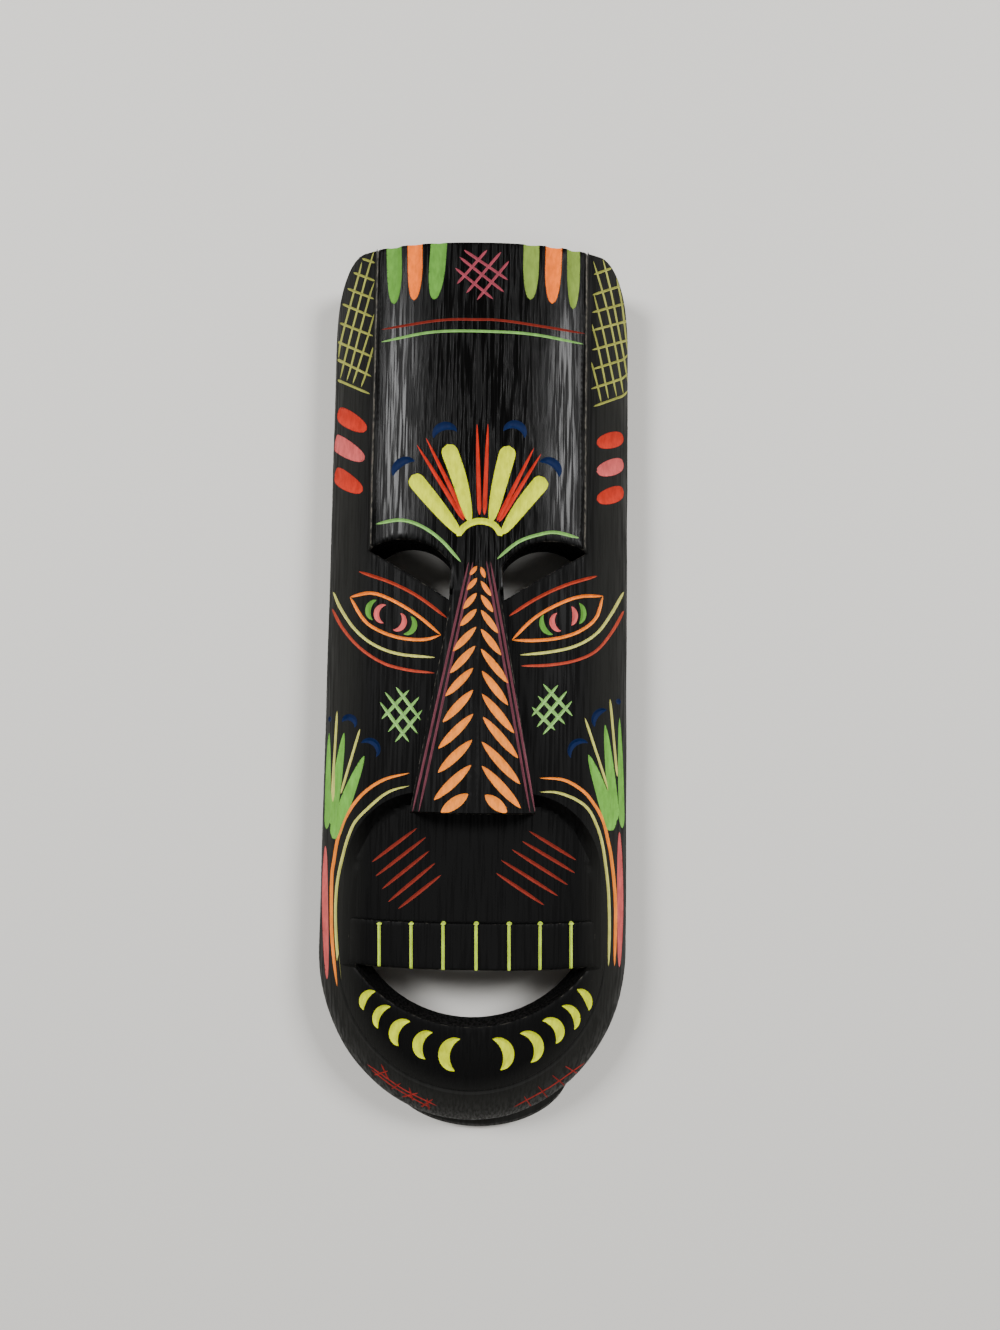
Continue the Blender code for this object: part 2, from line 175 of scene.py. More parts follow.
def rounded_corner(side, top, run, drop, steps):
    """A quarter of an ellipse from its foot on the right side up to its end on the top edge."""
    angles = [math.pi / 2 * step / steps for step in range(steps + 1)]
    return [(side - run * (1 - math.cos(a)), top - drop * (1 - math.sin(a))) for a in angles]


def log_outline():
    """The sawn outline in plan, counter-clockwise from the left shoulder's foot."""
    arc = rounded_corner(HALF, TOP, FLANK - SHOULDER_FLAT, SHOULDER_DROP, 32)
    arc += [(PANEL_HALF + SAW_SLANT, TOP), (PANEL_HALF, PANEL_TOP)]
    return np.array(chin_arc(HALF, CHIN_REACH) + arc + mirrored(arc)[::-1])


# The forehead panel: left 6 mm proud of the flanks and cheeks, with near upright edges that are
# painted lighter, partly for paint worn off and partly as painted highlights. Its lower edge is the
# brows, which run inside the eye holes.
PANEL_RISE = 6 * MM
BROW_Y = TOP - 175 * MM
BROW_PEAK_X = 43 * MM
EYE_OUTER_X = PANEL_HALF + 0.5 * MM
EYE_OUTER_DROP = 4.5 * MM
EYE_INNER_X = 14 * MM
EYE_ARC_DROP = 25 * MM
EYE_LOW_X = 15.5 * MM
EYE_LOW_DROP = 33.5 * MM
EYE_NARROWING = 8 * MM


def brow_arc(steps=20):
    """The right brow from its outer corner over the peak to its inner end, in plan."""
    points = []
    for step in range(steps):
        along = 1 - step / steps
        x = BROW_PEAK_X + (EYE_OUTER_X - BROW_PEAK_X) * along
        points.append((x, BROW_Y - EYE_OUTER_DROP * along**2))
    run = (BROW_PEAK_X - EYE_INNER_X) * 1.07
    last = math.acos((BROW_PEAK_X - EYE_INNER_X) / run)
    for step in range(steps + 1):
        angle = math.pi / 2 + (math.pi / 2 - last) * step / steps
        x = BROW_PEAK_X + run * math.cos(angle)
        points.append((x, BROW_Y - EYE_ARC_DROP * (1 - math.sin(angle))))
    return points


def eye_outline(narrowing, side):
    """One eye in plan. Narrowing draws its outer corner in and its brow down."""
    squeezed = []
    for x, y in brow_arc():
        share = (x - EYE_INNER_X) / (EYE_OUTER_X - EYE_INNER_X)
        squeezed.append((x - narrowing * share, y - narrowing * (0.25 + 0.5 * share)))
    squeezed.append((EYE_LOW_X, BROW_Y - EYE_LOW_DROP))
    return np.array(squeezed if side > 0 else mirrored(squeezed)[::-1])


panel_corner_y = BROW_Y - EYE_OUTER_DROP + 1.2 * MM
panel_foot_y = BROW_Y - (EYE_ARC_DROP + EYE_LOW_DROP) / 2
panel_right = [(EYE_LOW_X, panel_foot_y), (PANEL_HALF, panel_corner_y)]
panel_right += [(PANEL_HALF, TOP + 20 * MM)]
panel_outline = np.array(panel_right + mirrored(panel_right)[::-1])


# The sunk field round the mouth: sloping walls down to a floor 9 mm lower, with a bar of teeth
# left standing across it, and the mouth sawn right through under the bar.
RECESS_HALF = HALF - 17.5 * MM
RECESS_DEPTH = 9 * MM
RECESS_WALL_RUN = 6.5 * MM
RECESS_CORNER_RUN = 45 * MM
RECESS_CORNER_DROP = 47 * MM
TEETH_HEIGHT = 25 * MM
TEETH_RISE = 3 * MM
MOUTH_Y = CHIN_Y - 5.8 * MM
MOUTH_HALF = RECESS_HALF - 7.5 * MM
MOUTH_SAG = 29.5 * MM
MOUTH_NARROWING = 8 * MM
TEETH_TOP = MOUTH_Y + TEETH_HEIGHT
NOSE_BASE_Y = TEETH_TOP + 61 * MM
RECESS_TOP = NOSE_BASE_Y + 11 * MM
STEP_RUN = 0.5 * MM


def recess_outline(inset, foot_y):
    half, top = RECESS_HALF - inset, RECESS_TOP - inset
    points = [(half, foot_y)]
    points += rounded_corner(half, top, RECESS_CORNER_RUN, RECESS_CORNER_DROP, 24)
    return np.array(points + mirrored(points)[::-1])


def mouth_outline(narrowing, steps=60):
    """A straight edge under the teeth and an arc of a circle below it, counter-clockwise."""
    half = MOUTH_HALF - narrowing
    sag = MOUTH_SAG - narrowing / 2
    radius = (half**2 + sag**2) / (2 * sag)
    spread = math.asin(half / radius)
    points = []
    for step in range(steps + 1):
        angle = spread * (2 * step / steps - 1)
        drop = radius * math.cos(angle) - (radius - sag)
        points.append((radius * math.sin(angle), MOUTH_Y - drop))
    return np.array(points)


recess_walls = recess_outline(0, MOUTH_Y - 30 * MM)
teeth_half = RECESS_HALF - RECESS_WALL_RUN / 2
teeth_foot = MOUTH_Y - 6 * MM
teeth_outline = np.array([(-teeth_half, teeth_foot), (teeth_half, teeth_foot),
                          (teeth_half, TEETH_TOP), (-teeth_half, TEETH_TOP)])


# The nose: a long wedge that widens to a flat base over the sunk field.
NOSE_TOP_Y = BROW_Y - 10 * MM
NOSE_TOP_HALF = 9.5 * MM
NOSE_BASE_HALF = 34.5 * MM
NOSE_EDGE_RISE = 8 * MM
NOSE_BASE_RIDGE = 72 * MM

nose_outline = np.array([(-NOSE_BASE_HALF, NOSE_BASE_Y), (NOSE_BASE_HALF, NOSE_BASE_Y),
                         (NOSE_TOP_HALF, NOSE_TOP_Y), (-NOSE_TOP_HALF, NOSE_TOP_Y)])
base_edge = float(log.height(nose_outline[1])) + NOSE_EDGE_RISE
top_edge = float(log.height(nose_outline[2])) + PANEL_RISE


def nose_height(xy):
    along = np.clip((xy[..., 1] - NOSE_BASE_Y) / (NOSE_TOP_Y - NOSE_BASE_Y), 0, 1)
    half = NOSE_BASE_HALF + (NOSE_TOP_HALF - NOSE_BASE_HALF) * along
    edge = base_edge + (top_edge - base_edge) * along
    ridge = NOSE_BASE_RIDGE + (CROWN + PANEL_RISE - NOSE_BASE_RIDGE) * along
    return ridge - (ridge - edge) * np.abs(xy[..., 0]) / half


def signed_distance(xy, outline):
    """Distance of each plan point from a closed outline, positive inside it."""
    px, py = xy[..., 0], xy[..., 1]
    best = np.full(px.shape, np.inf)
    inside = np.zeros(px.shape, bool)
    for (ax, ay), (bx, by) in zip(outline, np.roll(outline, -1, axis=0)):
        ex, ey = bx - ax, by - ay
        share = np.clip(((px - ax) * ex + (py - ay) * ey) / (ex * ex + ey * ey + 1e-18), 0, 1)
        best = np.minimum(best, np.hypot(px - ax - share * ex, py - ay - share * ey))
        if ay != by:
            inside ^= ((ay > py) != (by > py)) & (px < ax + (py - ay) / (by - ay) * ex)
    return np.where(inside, best, -best)


# An edge in section: a near upright wall, then a narrow rounding that handling has worn.
UPRIGHT_EDGE = (-0.5 * MM, 0, 0.8 * MM)
SLOPED_EDGE = (-1.5 * MM, 0.7 * MM, 1.9 * MM)


def stands(distance, edge=UPRIGHT_EDGE):
    """How much of a step's height stands at a distance inside its edge."""
    return np.interp(distance, edge, (0, 0.93, 1))


def front_height(xy):
    """Height of the carved front at a plan point, before the gouge strokes."""
    bare = log.height(xy)
    sunk = np.clip(signed_distance(xy, recess_walls) / RECESS_WALL_RUN, 0, 1)
    above_mouth = np.clip((xy[..., 1] - MOUTH_Y) / STEP_RUN + 1, 0, 1)
    lift = -RECESS_DEPTH * (sunk * above_mouth)
    teeth = stands(signed_distance(xy, teeth_outline)) * above_mouth
    lift += teeth * np.maximum(TEETH_RISE - RECESS_DEPTH - lift, 0)
    lift += stands(signed_distance(xy, panel_outline), SLOPED_EDGE) * PANEL_RISE
    height = bare + lift
    nose = stands(signed_distance(xy, nose_outline))
    return height + nose * np.maximum(nose_height(xy) - height, 0)


# The gouge strokes. Each is set out as a path over the photograph, carried along the lines of
# sight to the wood, and made a tapering ribbon on the unrolled front, which the surface then dips
# under. Thin lines are V cuts, the broad ones a flat gouge's.
SIGHT_STEPS = 200
SKY = 82 * MM
WITHIN_OUTLINE = 0.992


def landed(pixels, height_at=front_height):
    """Plan points where the photographer's lines of sight meet the wood."""
    right = (pixels[:, 0] - PHOTO_WIDTH / 2) / FOCAL_PIXELS
    down = (pixels[:, 1] - PHOTO_HEIGHT / 2) / FOCAL_PIXELS
    rays = np.array(look_way) + right[:, None] * np.array(photo_right)
    rays -= down[:, None] * np.array(photo_up)
    levels = np.linspace(SKY, 0, SIGHT_STEPS)
    reach = (levels[None, :] - EYE.z) / rays[:, 2:3]
    xy = np.array(EYE)[:2] + reach[:, :, None] * rays[:, None, :2]
    clear = levels[None, :] - height_at(xy)
    clear[:, -1] = 0
    hit = np.maximum(np.argmax(clear <= 0, axis=1), 1)
    rows = np.arange(len(pixels))
    before, after = clear[rows, hit - 1], clear[rows, hit]
    share = (before / np.maximum(before - after, 1e-9))[:, None]
    found = xy[rows, hit - 1] * (1 - share) + xy[rows, hit] * share
    return log.kept_within(found, WITHIN_OUTLINE)


def smoothed(path, parts=6):
    """A smooth line through a few points, each corner rounded off by its neighbours. The path is
    a row of x, y, x, y and so on."""
    path = np.reshape(path, (-1, 2)).astype(float)
    if len(path) < 3:
        shares = np.linspace(0, 1, parts + 1)[:, None]
        return path[0] * (1 - shares) + path[-1] * shares
    padded = np.vstack([2 * path[0] - path[1], path, 2 * path[-1] - path[-2]])
    points = []
    for a, b, c, d in zip(padded, padded[1:], padded[2:], padded[3:]):
        for t in np.arange(parts) / parts:
            points.append(0.5 * (2 * b + (c - a) * t + (2 * a - 5 * b + 4 * c - d) * t**2
                                 + (3 * b - a - 3 * c + d) * t**3))
    return np.array(points + [path[-1]])


def add_node(tree, kind, inputs=None, **settings):
    """A node with its settings, its inputs set to values or linked from other nodes' outputs."""
    node = tree.nodes.new(kind)
    for name, value in settings.items():
        setattr(node, name, value)
    for key, value in (inputs or {}).items():
        if isinstance(value, bpy.types.NodeSocket):
            tree.links.new(value, node.inputs[key])
        else:
            node.inputs[key].default_value = value
    return node


def maths(tree, operation, *values):
    return add_node(tree, "ShaderNodeMath", dict(enumerate(values)), operation=operation).outputs[0]


PROFILE_POINTS = 5
THINNEST_SHARE = 0.05


def stroke_tree():
    """Curves in, flat ribbons out. A ribbon swells from its start over one share of its length
    and narrows to its end over another."""
    tree = bpy.data.node_groups.new("gouge stroke", "GeometryNodeTree")
    face = tree.interface
    face.new_socket("Paths", in_out="INPUT", socket_type="NodeSocketGeometry")
    for name in ("Step", "Start share", "End share", "Bluntness"):
        face.new_socket(name, in_out="INPUT", socket_type="NodeSocketFloat")
    face.new_socket("Paint", in_out="INPUT", socket_type="NodeSocketMaterial")
    face.new_socket("Ribbons", in_out="OUTPUT", socket_type="NodeSocketGeometry")
    given = add_node(tree, "NodeGroupInput").outputs

    numbered = add_node(tree, "GeometryNodeStoreNamedAttribute",
                        {"Geometry": given["Paths"], "Name": "stroke"},
                        data_type="INT", domain="CURVE")
    index = add_node(tree, "GeometryNodeInputIndex").outputs[0]
    tree.links.new(index, numbered.inputs["Value"])
    paths = add_node(tree, "GeometryNodeResampleCurve",
                     {"Curve": numbered.outputs[0], "Length": given["Step"]}, mode="LENGTH")
    along = add_node(tree, "GeometryNodeSplineParameter").outputs["Factor"]

    def swell(distance, share):
        reached = add_node(tree, "ShaderNodeClamp", {0: maths(tree, "DIVIDE", distance, share)})
        left = maths(tree, "SUBTRACT", 1.0, reached.outputs[0])
        round_end = maths(tree, "SUBTRACT", 1.0, maths(tree, "MULTIPLY", left, left))
        return maths(tree, "POWER", round_end, given["Bluntness"])

    start = swell(along, given["Start share"])
    end = swell(maths(tree, "SUBTRACT", 1.0, along), given["End share"])
    taper = maths(tree, "MAXIMUM", maths(tree, "MINIMUM", start, end), THINNEST_SHARE)
    half = maths(tree, "MULTIPLY", add_node(tree, "GeometryNodeInputRadius").outputs[0], taper)
    flat = add_node(tree, "GeometryNodeSetCurveNormal", {"Curve": paths.outputs[0]}, mode="Z_UP")
    across = add_node(tree, "GeometryNodeCurvePrimitiveLine",
                      {"Start": (-1.0, 0.0, 0.0), "End": (1.0, 0.0, 0.0)})
    profile = add_node(tree, "GeometryNodeResampleCurve",
                       {"Curve": across.outputs[0], "Count": PROFILE_POINTS}, mode="COUNT")
    ribbons = add_node(tree, "GeometryNodeCurveToMesh",
                       {"Curve": flat.outputs[0], "Profile Curve": profile.outputs[0],
                        "Scale": half})
    real = add_node(tree, "GeometryNodeRealizeInstances", {0: ribbons.outputs[0]})
    painted = add_node(tree, "GeometryNodeSetMaterial",
                       {"Geometry": real.outputs[0], "Material": given["Paint"]})
    add_node(tree, "NodeGroupOutput", {0: painted.outputs[0]})
    return tree


gouge_tree = stroke_tree()
strokes = []


def linear(code):
    """An sRGB hex colour as linear light."""
    channels = [int(code[place:place + 2], 16) / 255 for place in (1, 3, 5)]
    return [c / 12.92 if c <= 0.04045 else ((c + 0.055) / 1.055) ** 2.4 for c in channels] + [1.0]


def new_material(name):
    """A material with its node tree, its shader and the object's own coordinates."""
    material = bpy.data.materials.new(name)
    material.use_nodes = True
    tree = material.node_tree
    place = add_node(tree, "ShaderNodeTexCoord").outputs["Object"]
    return material, tree, tree.nodes["Principled BSDF"], place


def stretched(tree, place, scale):
    return add_node(tree, "ShaderNodeMapping", {"Vector": place, "Scale": scale}).outputs[0]


def noise_at(tree, place, scale, detail, roughness=0.5):
    return add_node(tree, "ShaderNodeTexNoise", {"Vector": place, "Scale": scale, "Detail": detail,
                                                 "Roughness": roughness}).outputs[0]


def ranged(tree, value, low, high, to_low=0.0, to_high=1.0):
    return add_node(tree, "ShaderNodeMapRange",
                    {"Value": value, "From Min": low, "From Max": high,
                     "To Min": to_low, "To Max": to_high}).outputs[0]


def mixed(tree, share, first, second, blend_type="MIX"):
    return add_node(tree, "ShaderNodeMixRGB", {0: share, 1: first, 2: second},
                    blend_type=blend_type).outputs[0]


def mesh_value(tree, name):
    return add_node(tree, "ShaderNodeAttribute", attribute_name=name).outputs["Fac"]


def finish_material(tree, shader, colour, height, strength, distance):
    """Links the colour, and a bump of a height in metres."""
    tree.links.new(colour, shader.inputs["Base Color"])
    bump = add_node(tree, "ShaderNodeBump",
                    {"Height": height, "Strength": strength, "Distance": distance})
    tree.links.new(bump.outputs[0], shader.inputs["Normal"])


STREAK = (2.2 * MM, 7 * MM, 4 * MM)
PAINT_GRAIN = 0.9 * MM
THIN_PAINT = 0.16


def acrylic(name, code):
    """Matte craft acrylic brushed into the cut wood: flat and chalky, a little streaky along the
    cut, and thin where it meets the rim, so the black shows through there."""
    material, tree, shader, place = new_material(name + " acrylic")
    tone = noise_at(tree, stretched(tree, place, [1 / size for size in STREAK]), 1.0, 3.0, 0.6)
    fine = noise_at(tree, place, 1 / PAINT_GRAIN, 2.0)
    covered = ranged(tree, maths(tree, "ADD", mesh_value(tree, "cut"), fine), 0.3, 0.5)
    paint = linear(code)
    lit = mixed(tree, 1.0, paint, ranged(tree, tone, 0.3, 0.7, 0.74, 1.08), "MULTIPLY")
    thin = [channel * THIN_PAINT for channel in paint[:3]] + [1.0]
    shader.inputs["Roughness"].default_value = 0.62
    shader.inputs["Specular IOR Level"].default_value = 0.1
    finish_material(tree, shader, mixed(tree, covered, thin, lit), tone, 0.5, 0.15 * MM)
    return material


LIME = acrylic("lime green", "#60983A")
OLIVE = acrylic("olive green", "#7E983E")
LEAF = acrylic("leaf green", "#74B648")
PALE_GREEN = acrylic("pale green", "#90C46C")
ORANGE = acrylic("orange", "#FF7718")
SALMON = acrylic("salmon orange", "#FF922E")
RED = acrylic("red", "#C8321F")
DEEP_RED = acrylic("deep red", "#90362B")
BRICK = acrylic("brick red", "#B4442F")
STITCH_RED = acrylic("stitch red", "#9A2C26")
PINK = acrylic("pink", "#D8605E")
MAROON = acrylic("raspberry", "#AA505E")
PLUM = acrylic("plum", "#7A4450")
LEMON = acrylic("lemon yellow", "#DAE410")
STRAW = acrylic("straw yellow", "#A8AA54")
PALE_YELLOW = acrylic("pale yellow", "#CCCB6C")
BLUE = acrylic("dark blue", "#091C42")
TOOTH = acrylic("yellow-green", "#C4DC4C")

# Tapers by kind of stroke: share of the length that the start swells over, the share that the
# end narrows over, how blunt both ends are, and the spacing of points along it.
TAPERS = {
    "line": (0.16, 0.16, 0.6, 1.5 * MM),
    "hatch": (0.5, 0.5, 0.5, 1.5 * MM),
    "leaf": (0.5, 0.5, 0.72, 1.0 * MM),
    "oval": (0.5, 0.5, 0.42, 1.0 * MM),
    "crescent": (0.5, 0.5, 0.8, 0.7 * MM),
    "finger": (0.001, 0.62, 0.45, 1.2 * MM),
    "petal": (0.12, 0.95, 0.42, 1.2 * MM),
    "blade": (0.75, 0.12, 0.6, 1.3 * MM),
    "border": (0.04, 0.001, 0.5, 1.5 * MM),
}
PIXEL = 0.562 * MM
WIDEST_SPREAD = 3.2


def carve(paint, taper, width, depth, paths, run_off=0.0):
    """Adds strokes. Width is in the photograph's pixels, so a stroke on a flank that the camera
    sees aslant comes out wider on the wood. Run_off carries the start on past the sawn edge."""
    for path in paths:
        pixels = smoothed(path)
        way = np.gradient(pixels, axis=0)
        way /= np.linalg.norm(way, axis=1, keepdims=True)
        side = np.stack([-way[:, 1], way[:, 0]], 1)
        near = log.unroll(landed(pixels - side, log.height))
        far = log.unroll(landed(pixels + side, log.height))
        spread = np.linalg.norm(far - near, axis=1) / 2
        half = width / 2 * np.clip(spread, PIXEL, PIXEL * WIDEST_SPREAD)
        uv = log.unroll(landed(pixels))
        if run_off:
            lead = uv[0] - uv[1]
            uv = np.vstack([uv[0] + lead / np.linalg.norm(lead) * run_off, uv])
            half = np.concatenate([half[:1], half])
        strokes.append({"paint": paint, "taper": taper, "half": float(half.max()),
                        "halves": half, "depth": depth, "path": uv})


def moon(places, width):
    """The middle line of a crescent, from x and y of a tip, of the middle of its outer side and
    of its other tip."""
    first_tip, back, last_tip = np.reshape(places, (3, 2)).astype(float)
    chord = last_tip - first_tip
    way = np.array([-chord[1], chord[0]]) / np.linalg.norm(chord)
    middle = (first_tip + last_tip) / 2
    sag = float((back - middle) @ way)
    sag -= math.copysign(width / 2, sag)
    half = np.linalg.norm(chord) / 2
    radius = (half**2 + sag**2) / (2 * abs(sag))
    spread = 2 * math.atan(abs(sag) / half)
    centre = middle + way * (sag - math.copysign(radius, sag))
    out = way * math.copysign(1, sag)
    across = chord / np.linalg.norm(chord)
    angles = np.linspace(-spread, spread, 9)
    return [centre + radius * (math.cos(a) * out + math.sin(a) * across) for a in angles]


def carve_moons(paint, width, depth, moons):
    carve(paint, "crescent", width, depth, [moon(places, width) for places in moons])


# Along the top edge: flat gouge cuts that run down from the sawn edge, a crosshatch between them
# and two thin arcs across the panel under them.
carve(LIME, "finger", 14.5, 1.6 * MM, [(394, 250, 394.5, 278, 394, 304)], 5 * MM)
carve(ORANGE, "finger", 14.5, 1.6 * MM, [(415, 250, 415, 275, 414, 300)], 5 * MM)
carve(LIME, "finger", 16, 1.6 * MM, [(438.5, 249, 436.5, 275, 434, 299.5)], 5 * MM)
carve(OLIVE, "finger", 15.5, 1.6 * MM, [(531.5, 249, 531, 275, 530.4, 299.5)], 5 * MM)
carve(ORANGE, "finger", 16, 1.6 * MM, [(554, 250, 553, 277, 552, 303.5)], 5 * MM)
carve(OLIVE, "finger", 12.5, 1.6 * MM, [(573.7, 251, 573.5, 280, 573, 309)], 5 * MM)
carve(MAROON, "line", 2.7, 1.0 * MM, [
    (464, 250, 508, 280), (459.6, 257, 504, 292), (455.4, 268, 493, 299), (457, 284, 487, 250),
    (466.5, 293, 501, 252), (477, 300, 509, 261),
])
carve(DEEP_RED, "line", 2.5, 1.0 * MM, [
    (381.5, 329.5, 438, 320.5, 475, 319.5, 507, 321, 585, 333.6),
])
carve(PALE_GREEN, "line", 2.6, 1.0 * MM, [
    (381, 342, 429, 332.5, 474.5, 331, 530, 334, 583.5, 344),
])

# The net of thin lines over each shoulder, and three oval thumb cuts below it.
carve(STRAW, "line", 2.3, 0.7 * MM, [
    (362, 258.5, 375, 263), (353.5, 272.5, 375, 281), (347.5, 288.5, 374, 299),
    (342.5, 304, 372.5, 317), (340, 323, 373, 336), (338, 342, 372.5, 357),
    (337.5, 359.5, 371.5, 376.5), (337.5, 380, 370, 394), (594, 274.5, 612, 268),
    (592.5, 295, 620.5, 286), (592, 312.5, 624, 303.8), (592, 330.5, 627.5, 321),
    (592, 350, 628, 340), (592, 369.5, 628.5, 358), (591, 389, 628.5, 376.5),
    (593.5, 406.5, 628.5, 394),
])
carve(STRAW, "line", 1.8, 0.6 * MM, [
    (362, 262, 358.5, 276, 349.5, 308, 340.5, 343, 338.5, 358),
    (374, 251, 366, 278, 357, 311, 348, 346, 340, 379),
    (374.5, 282, 370, 295, 360, 331, 351, 366, 346.5, 381),
    (374, 314, 368.5, 334, 357.5, 369, 352.5, 384), (373, 347, 366, 373, 361, 387),
    (593.5, 261, 602.5, 291, 611, 325, 618, 362, 623.5, 394),
    (603, 259, 610.5, 289, 617.5, 324, 624.5, 360, 628, 384),
    (616.5, 278, 622, 305, 626.5, 341, 628, 352), (594, 294, 602.5, 328, 610, 364, 617, 397),
    (592, 324, 598.5, 349, 605.5, 384, 608.5, 399), (591.5, 362, 597.5, 386, 601, 402),
])
carve(RED, "oval", 16, 1.3 * MM, [
    (337.5, 413, 352, 421.5, 366.5, 430), (335, 474, 348, 482.5, 362.5, 491),
    (597, 444, 610, 440.5, 623.5, 437.5), (597, 500, 610, 496, 623.5, 491.5),
])
carve(PINK, "oval", 16, 1.3 * MM, [
    (335, 442, 350, 451, 364.5, 459.5), (597, 472, 610, 468, 623.5, 463.5),
])

# The fan over the nose: four broad petals, six thin rays, four small crescents at their tips and
# a curved cap where they meet.
carve(RED, "blade", 4.2, 1.1 * MM, [
    (417, 445, 464, 520.5), (426, 438, 466, 519), (477, 424, 479.5, 515), (488, 424, 484.4, 515),
    (534, 448, 497, 521), (541, 454, 499, 522),
])
carve(LEMON, "petal", 16.5, 1.7 * MM, [
    (411.5, 475.5, 436, 505, 461, 535), (447, 444.5, 459.5, 480, 470, 522),
    (509.5, 446, 500, 482, 491, 522), (545, 478, 522, 506, 502, 534),
])
carve(LEMON, "border", 6.5, 1.2 * MM, [(457, 536, 466, 525.5, 480, 521, 494, 525, 502, 536)])
carve_moons(BLUE, 8.5, 1.1 * MM, [
    (393, 476, 398, 459, 415, 461), (433.5, 438, 444, 421.5, 457, 431.5),
    (503.5, 431, 516, 420, 524.5, 438), (539.5, 462, 555, 458.5, 559, 477),
])

# Brow lines, eye outlines with small crescents for the iris, and the long lines under the eyes.
carve(PALE_GREEN, "line", 3.2, 1.1 * MM, [
    (376, 524, 399, 520, 419, 525, 440, 539, 461, 562),
    (497, 559, 518, 542, 541, 534, 557, 532.5, 579, 538),
])
carve(BRICK, "line", 3.2, 1.1 * MM, [
    (359, 571.5, 392, 583, 419, 597, 447, 618), (509, 616, 536.5, 598.5, 566, 585, 597, 576),
])
carve(SALMON, "line", 3.2, 1.1 * MM, [
    (350, 597, 371, 593, 392, 600, 417, 615, 441, 635),
    (350, 597, 364, 620, 380, 631, 401, 638, 424, 639.5, 441, 635),
    (512, 640, 532, 620, 552.5, 607, 578, 597, 603, 596),
    (512, 640, 534, 640.5, 559, 638, 580, 631, 596, 618, 603, 596),
])
carve_moons(LIME, 5.6, 0.9 * MM, [
    (376.5, 600, 365, 610, 372.5, 620), (410.5, 616, 417.5, 626, 403.5, 634),
    (543.5, 614.5, 539.5, 626.5, 553, 634.5), (579, 603, 586.5, 612.5, 579, 624),
])
carve_moons(PINK, 5.6, 0.9 * MM, [
    (386, 605, 373.5, 613.5, 383.5, 623), (400.5, 613, 407, 623.5, 393, 630),
    (557, 613, 549.5, 623.5, 561, 631), (571.5, 606.5, 578, 616, 571.5, 625.5),
])
carve(PALE_YELLOW, "line", 2.8, 0.9 * MM, [
    (333, 592, 341, 609, 355, 629.5, 373.5, 644.5, 399, 654, 435, 657.5),
    (624, 592, 610, 616, 596, 634, 575.5, 646, 550, 652, 520, 655),
])
carve(BRICK, "line", 2.8, 1.0 * MM, [
    (332, 609, 343.6, 629.5, 360, 648, 383, 663, 408, 670, 435, 673),
    (624, 611, 612, 632, 596, 651, 575.5, 660.5, 550, 665, 521, 666),
])
carve(PALE_GREEN, "hatch", 3.6, 1.0 * MM, [
    (396, 687, 420.5, 720), (385, 692, 417.5, 733.5), (380, 702, 409, 742),
    (409, 690, 381.5, 719), (419, 697, 388, 732), (422, 710, 395, 742), (543, 684, 572.5, 716),
    (538, 696, 565, 724), (532, 707, 555, 730), (558, 685, 532, 716), (567, 691, 537, 727),
    (572, 701, 543, 734.5),
])

# The nose: two thin lines down each slope near its edge, and a herringbone of leaf cuts.
carve(PLUM, "line", 2.4, 0.9 * MM, [
    (468.7, 562, 412.5, 812), (473, 562, 418.7, 812), (486.4, 561, 530, 812),
    (490.6, 562, 535, 812),
])
nose_leaves = [
    (477, 566, 470, 575, 4.5), (477, 578, 467, 590, 5), (476.5, 593, 463, 609, 6),
    (476.5, 609, 460, 626, 6.5), (476, 627, 453, 651, 7), (475, 646, 450, 673, 7.5),
    (473, 668, 445.5, 696, 8), (473, 690, 443, 722, 8.5), (473, 714, 438.5, 748.5, 8.5),
    (472, 740, 438, 772.5, 9), (471, 765, 434, 800, 9), (468, 794, 441, 812.5, 11),
    (481, 567, 485, 578, 4.5), (481, 581, 491, 596, 5), (481, 595, 493, 612, 6),
    (481, 610, 498, 633, 6.5), (481, 629, 501, 655, 7), (481, 649, 508, 683, 7.5),
    (482, 671, 508, 705, 8), (482, 694, 514, 733, 8.5), (483, 717, 518, 758, 8.5),
    (482, 742, 520, 784, 9), (482, 766, 520.5, 808, 9), (485, 795, 507, 812.5, 11),
]
for x, y, end_x, end_y, width in nose_leaves:
    carve(SALMON, "leaf", width, 1.2 * MM, [(x, y, (x + end_x) / 2, (y + end_y) / 2, end_x, end_y)])

# The flanks beside the mouth: a bunch of green blades with thin stems and blue buds, over a long
# narrow leaf.
carve(PINK, "hatch", 6, 1.0 * MM, [
    (325.5, 846, 324.5, 900, 327, 979), (619.5, 832, 620.5, 900, 619.5, 967),
])
carve(LEAF, "blade", 5.5, 0.9 * MM, [(329, 733, 326.5, 829), (619.5, 718, 622.5, 828)])
carve(LEAF, "blade", 9.5, 1.2 * MM, [(344, 733, 330.5, 824), (605, 725, 616, 822)])
carve(LEAF, "blade", 12.5, 1.4 * MM, [
    (364, 756, 349, 793, 332.5, 838), (588.5, 755, 601, 790, 613.5, 830),
])
carve(PALE_YELLOW, "line", 2.4, 0.7 * MM, [
    (337, 711, 331.5, 802), (360, 729, 340.6, 794), (585, 718, 609, 791), (610, 699, 617.5, 777),
])
carve_moons(BLUE, 6.5, 1.0 * MM, [
    (342, 722, 347.5, 712.5, 354.5, 727.5), (361, 743, 373, 737, 376, 757),
    (595, 727, 598, 706.5, 607, 710), (571, 758, 575, 738.5, 588, 743),
])
carve(BLUE, "oval", 5.5, 0.8 * MM, [(328, 719, 331.5, 719), (615.5, 701, 621, 702)])

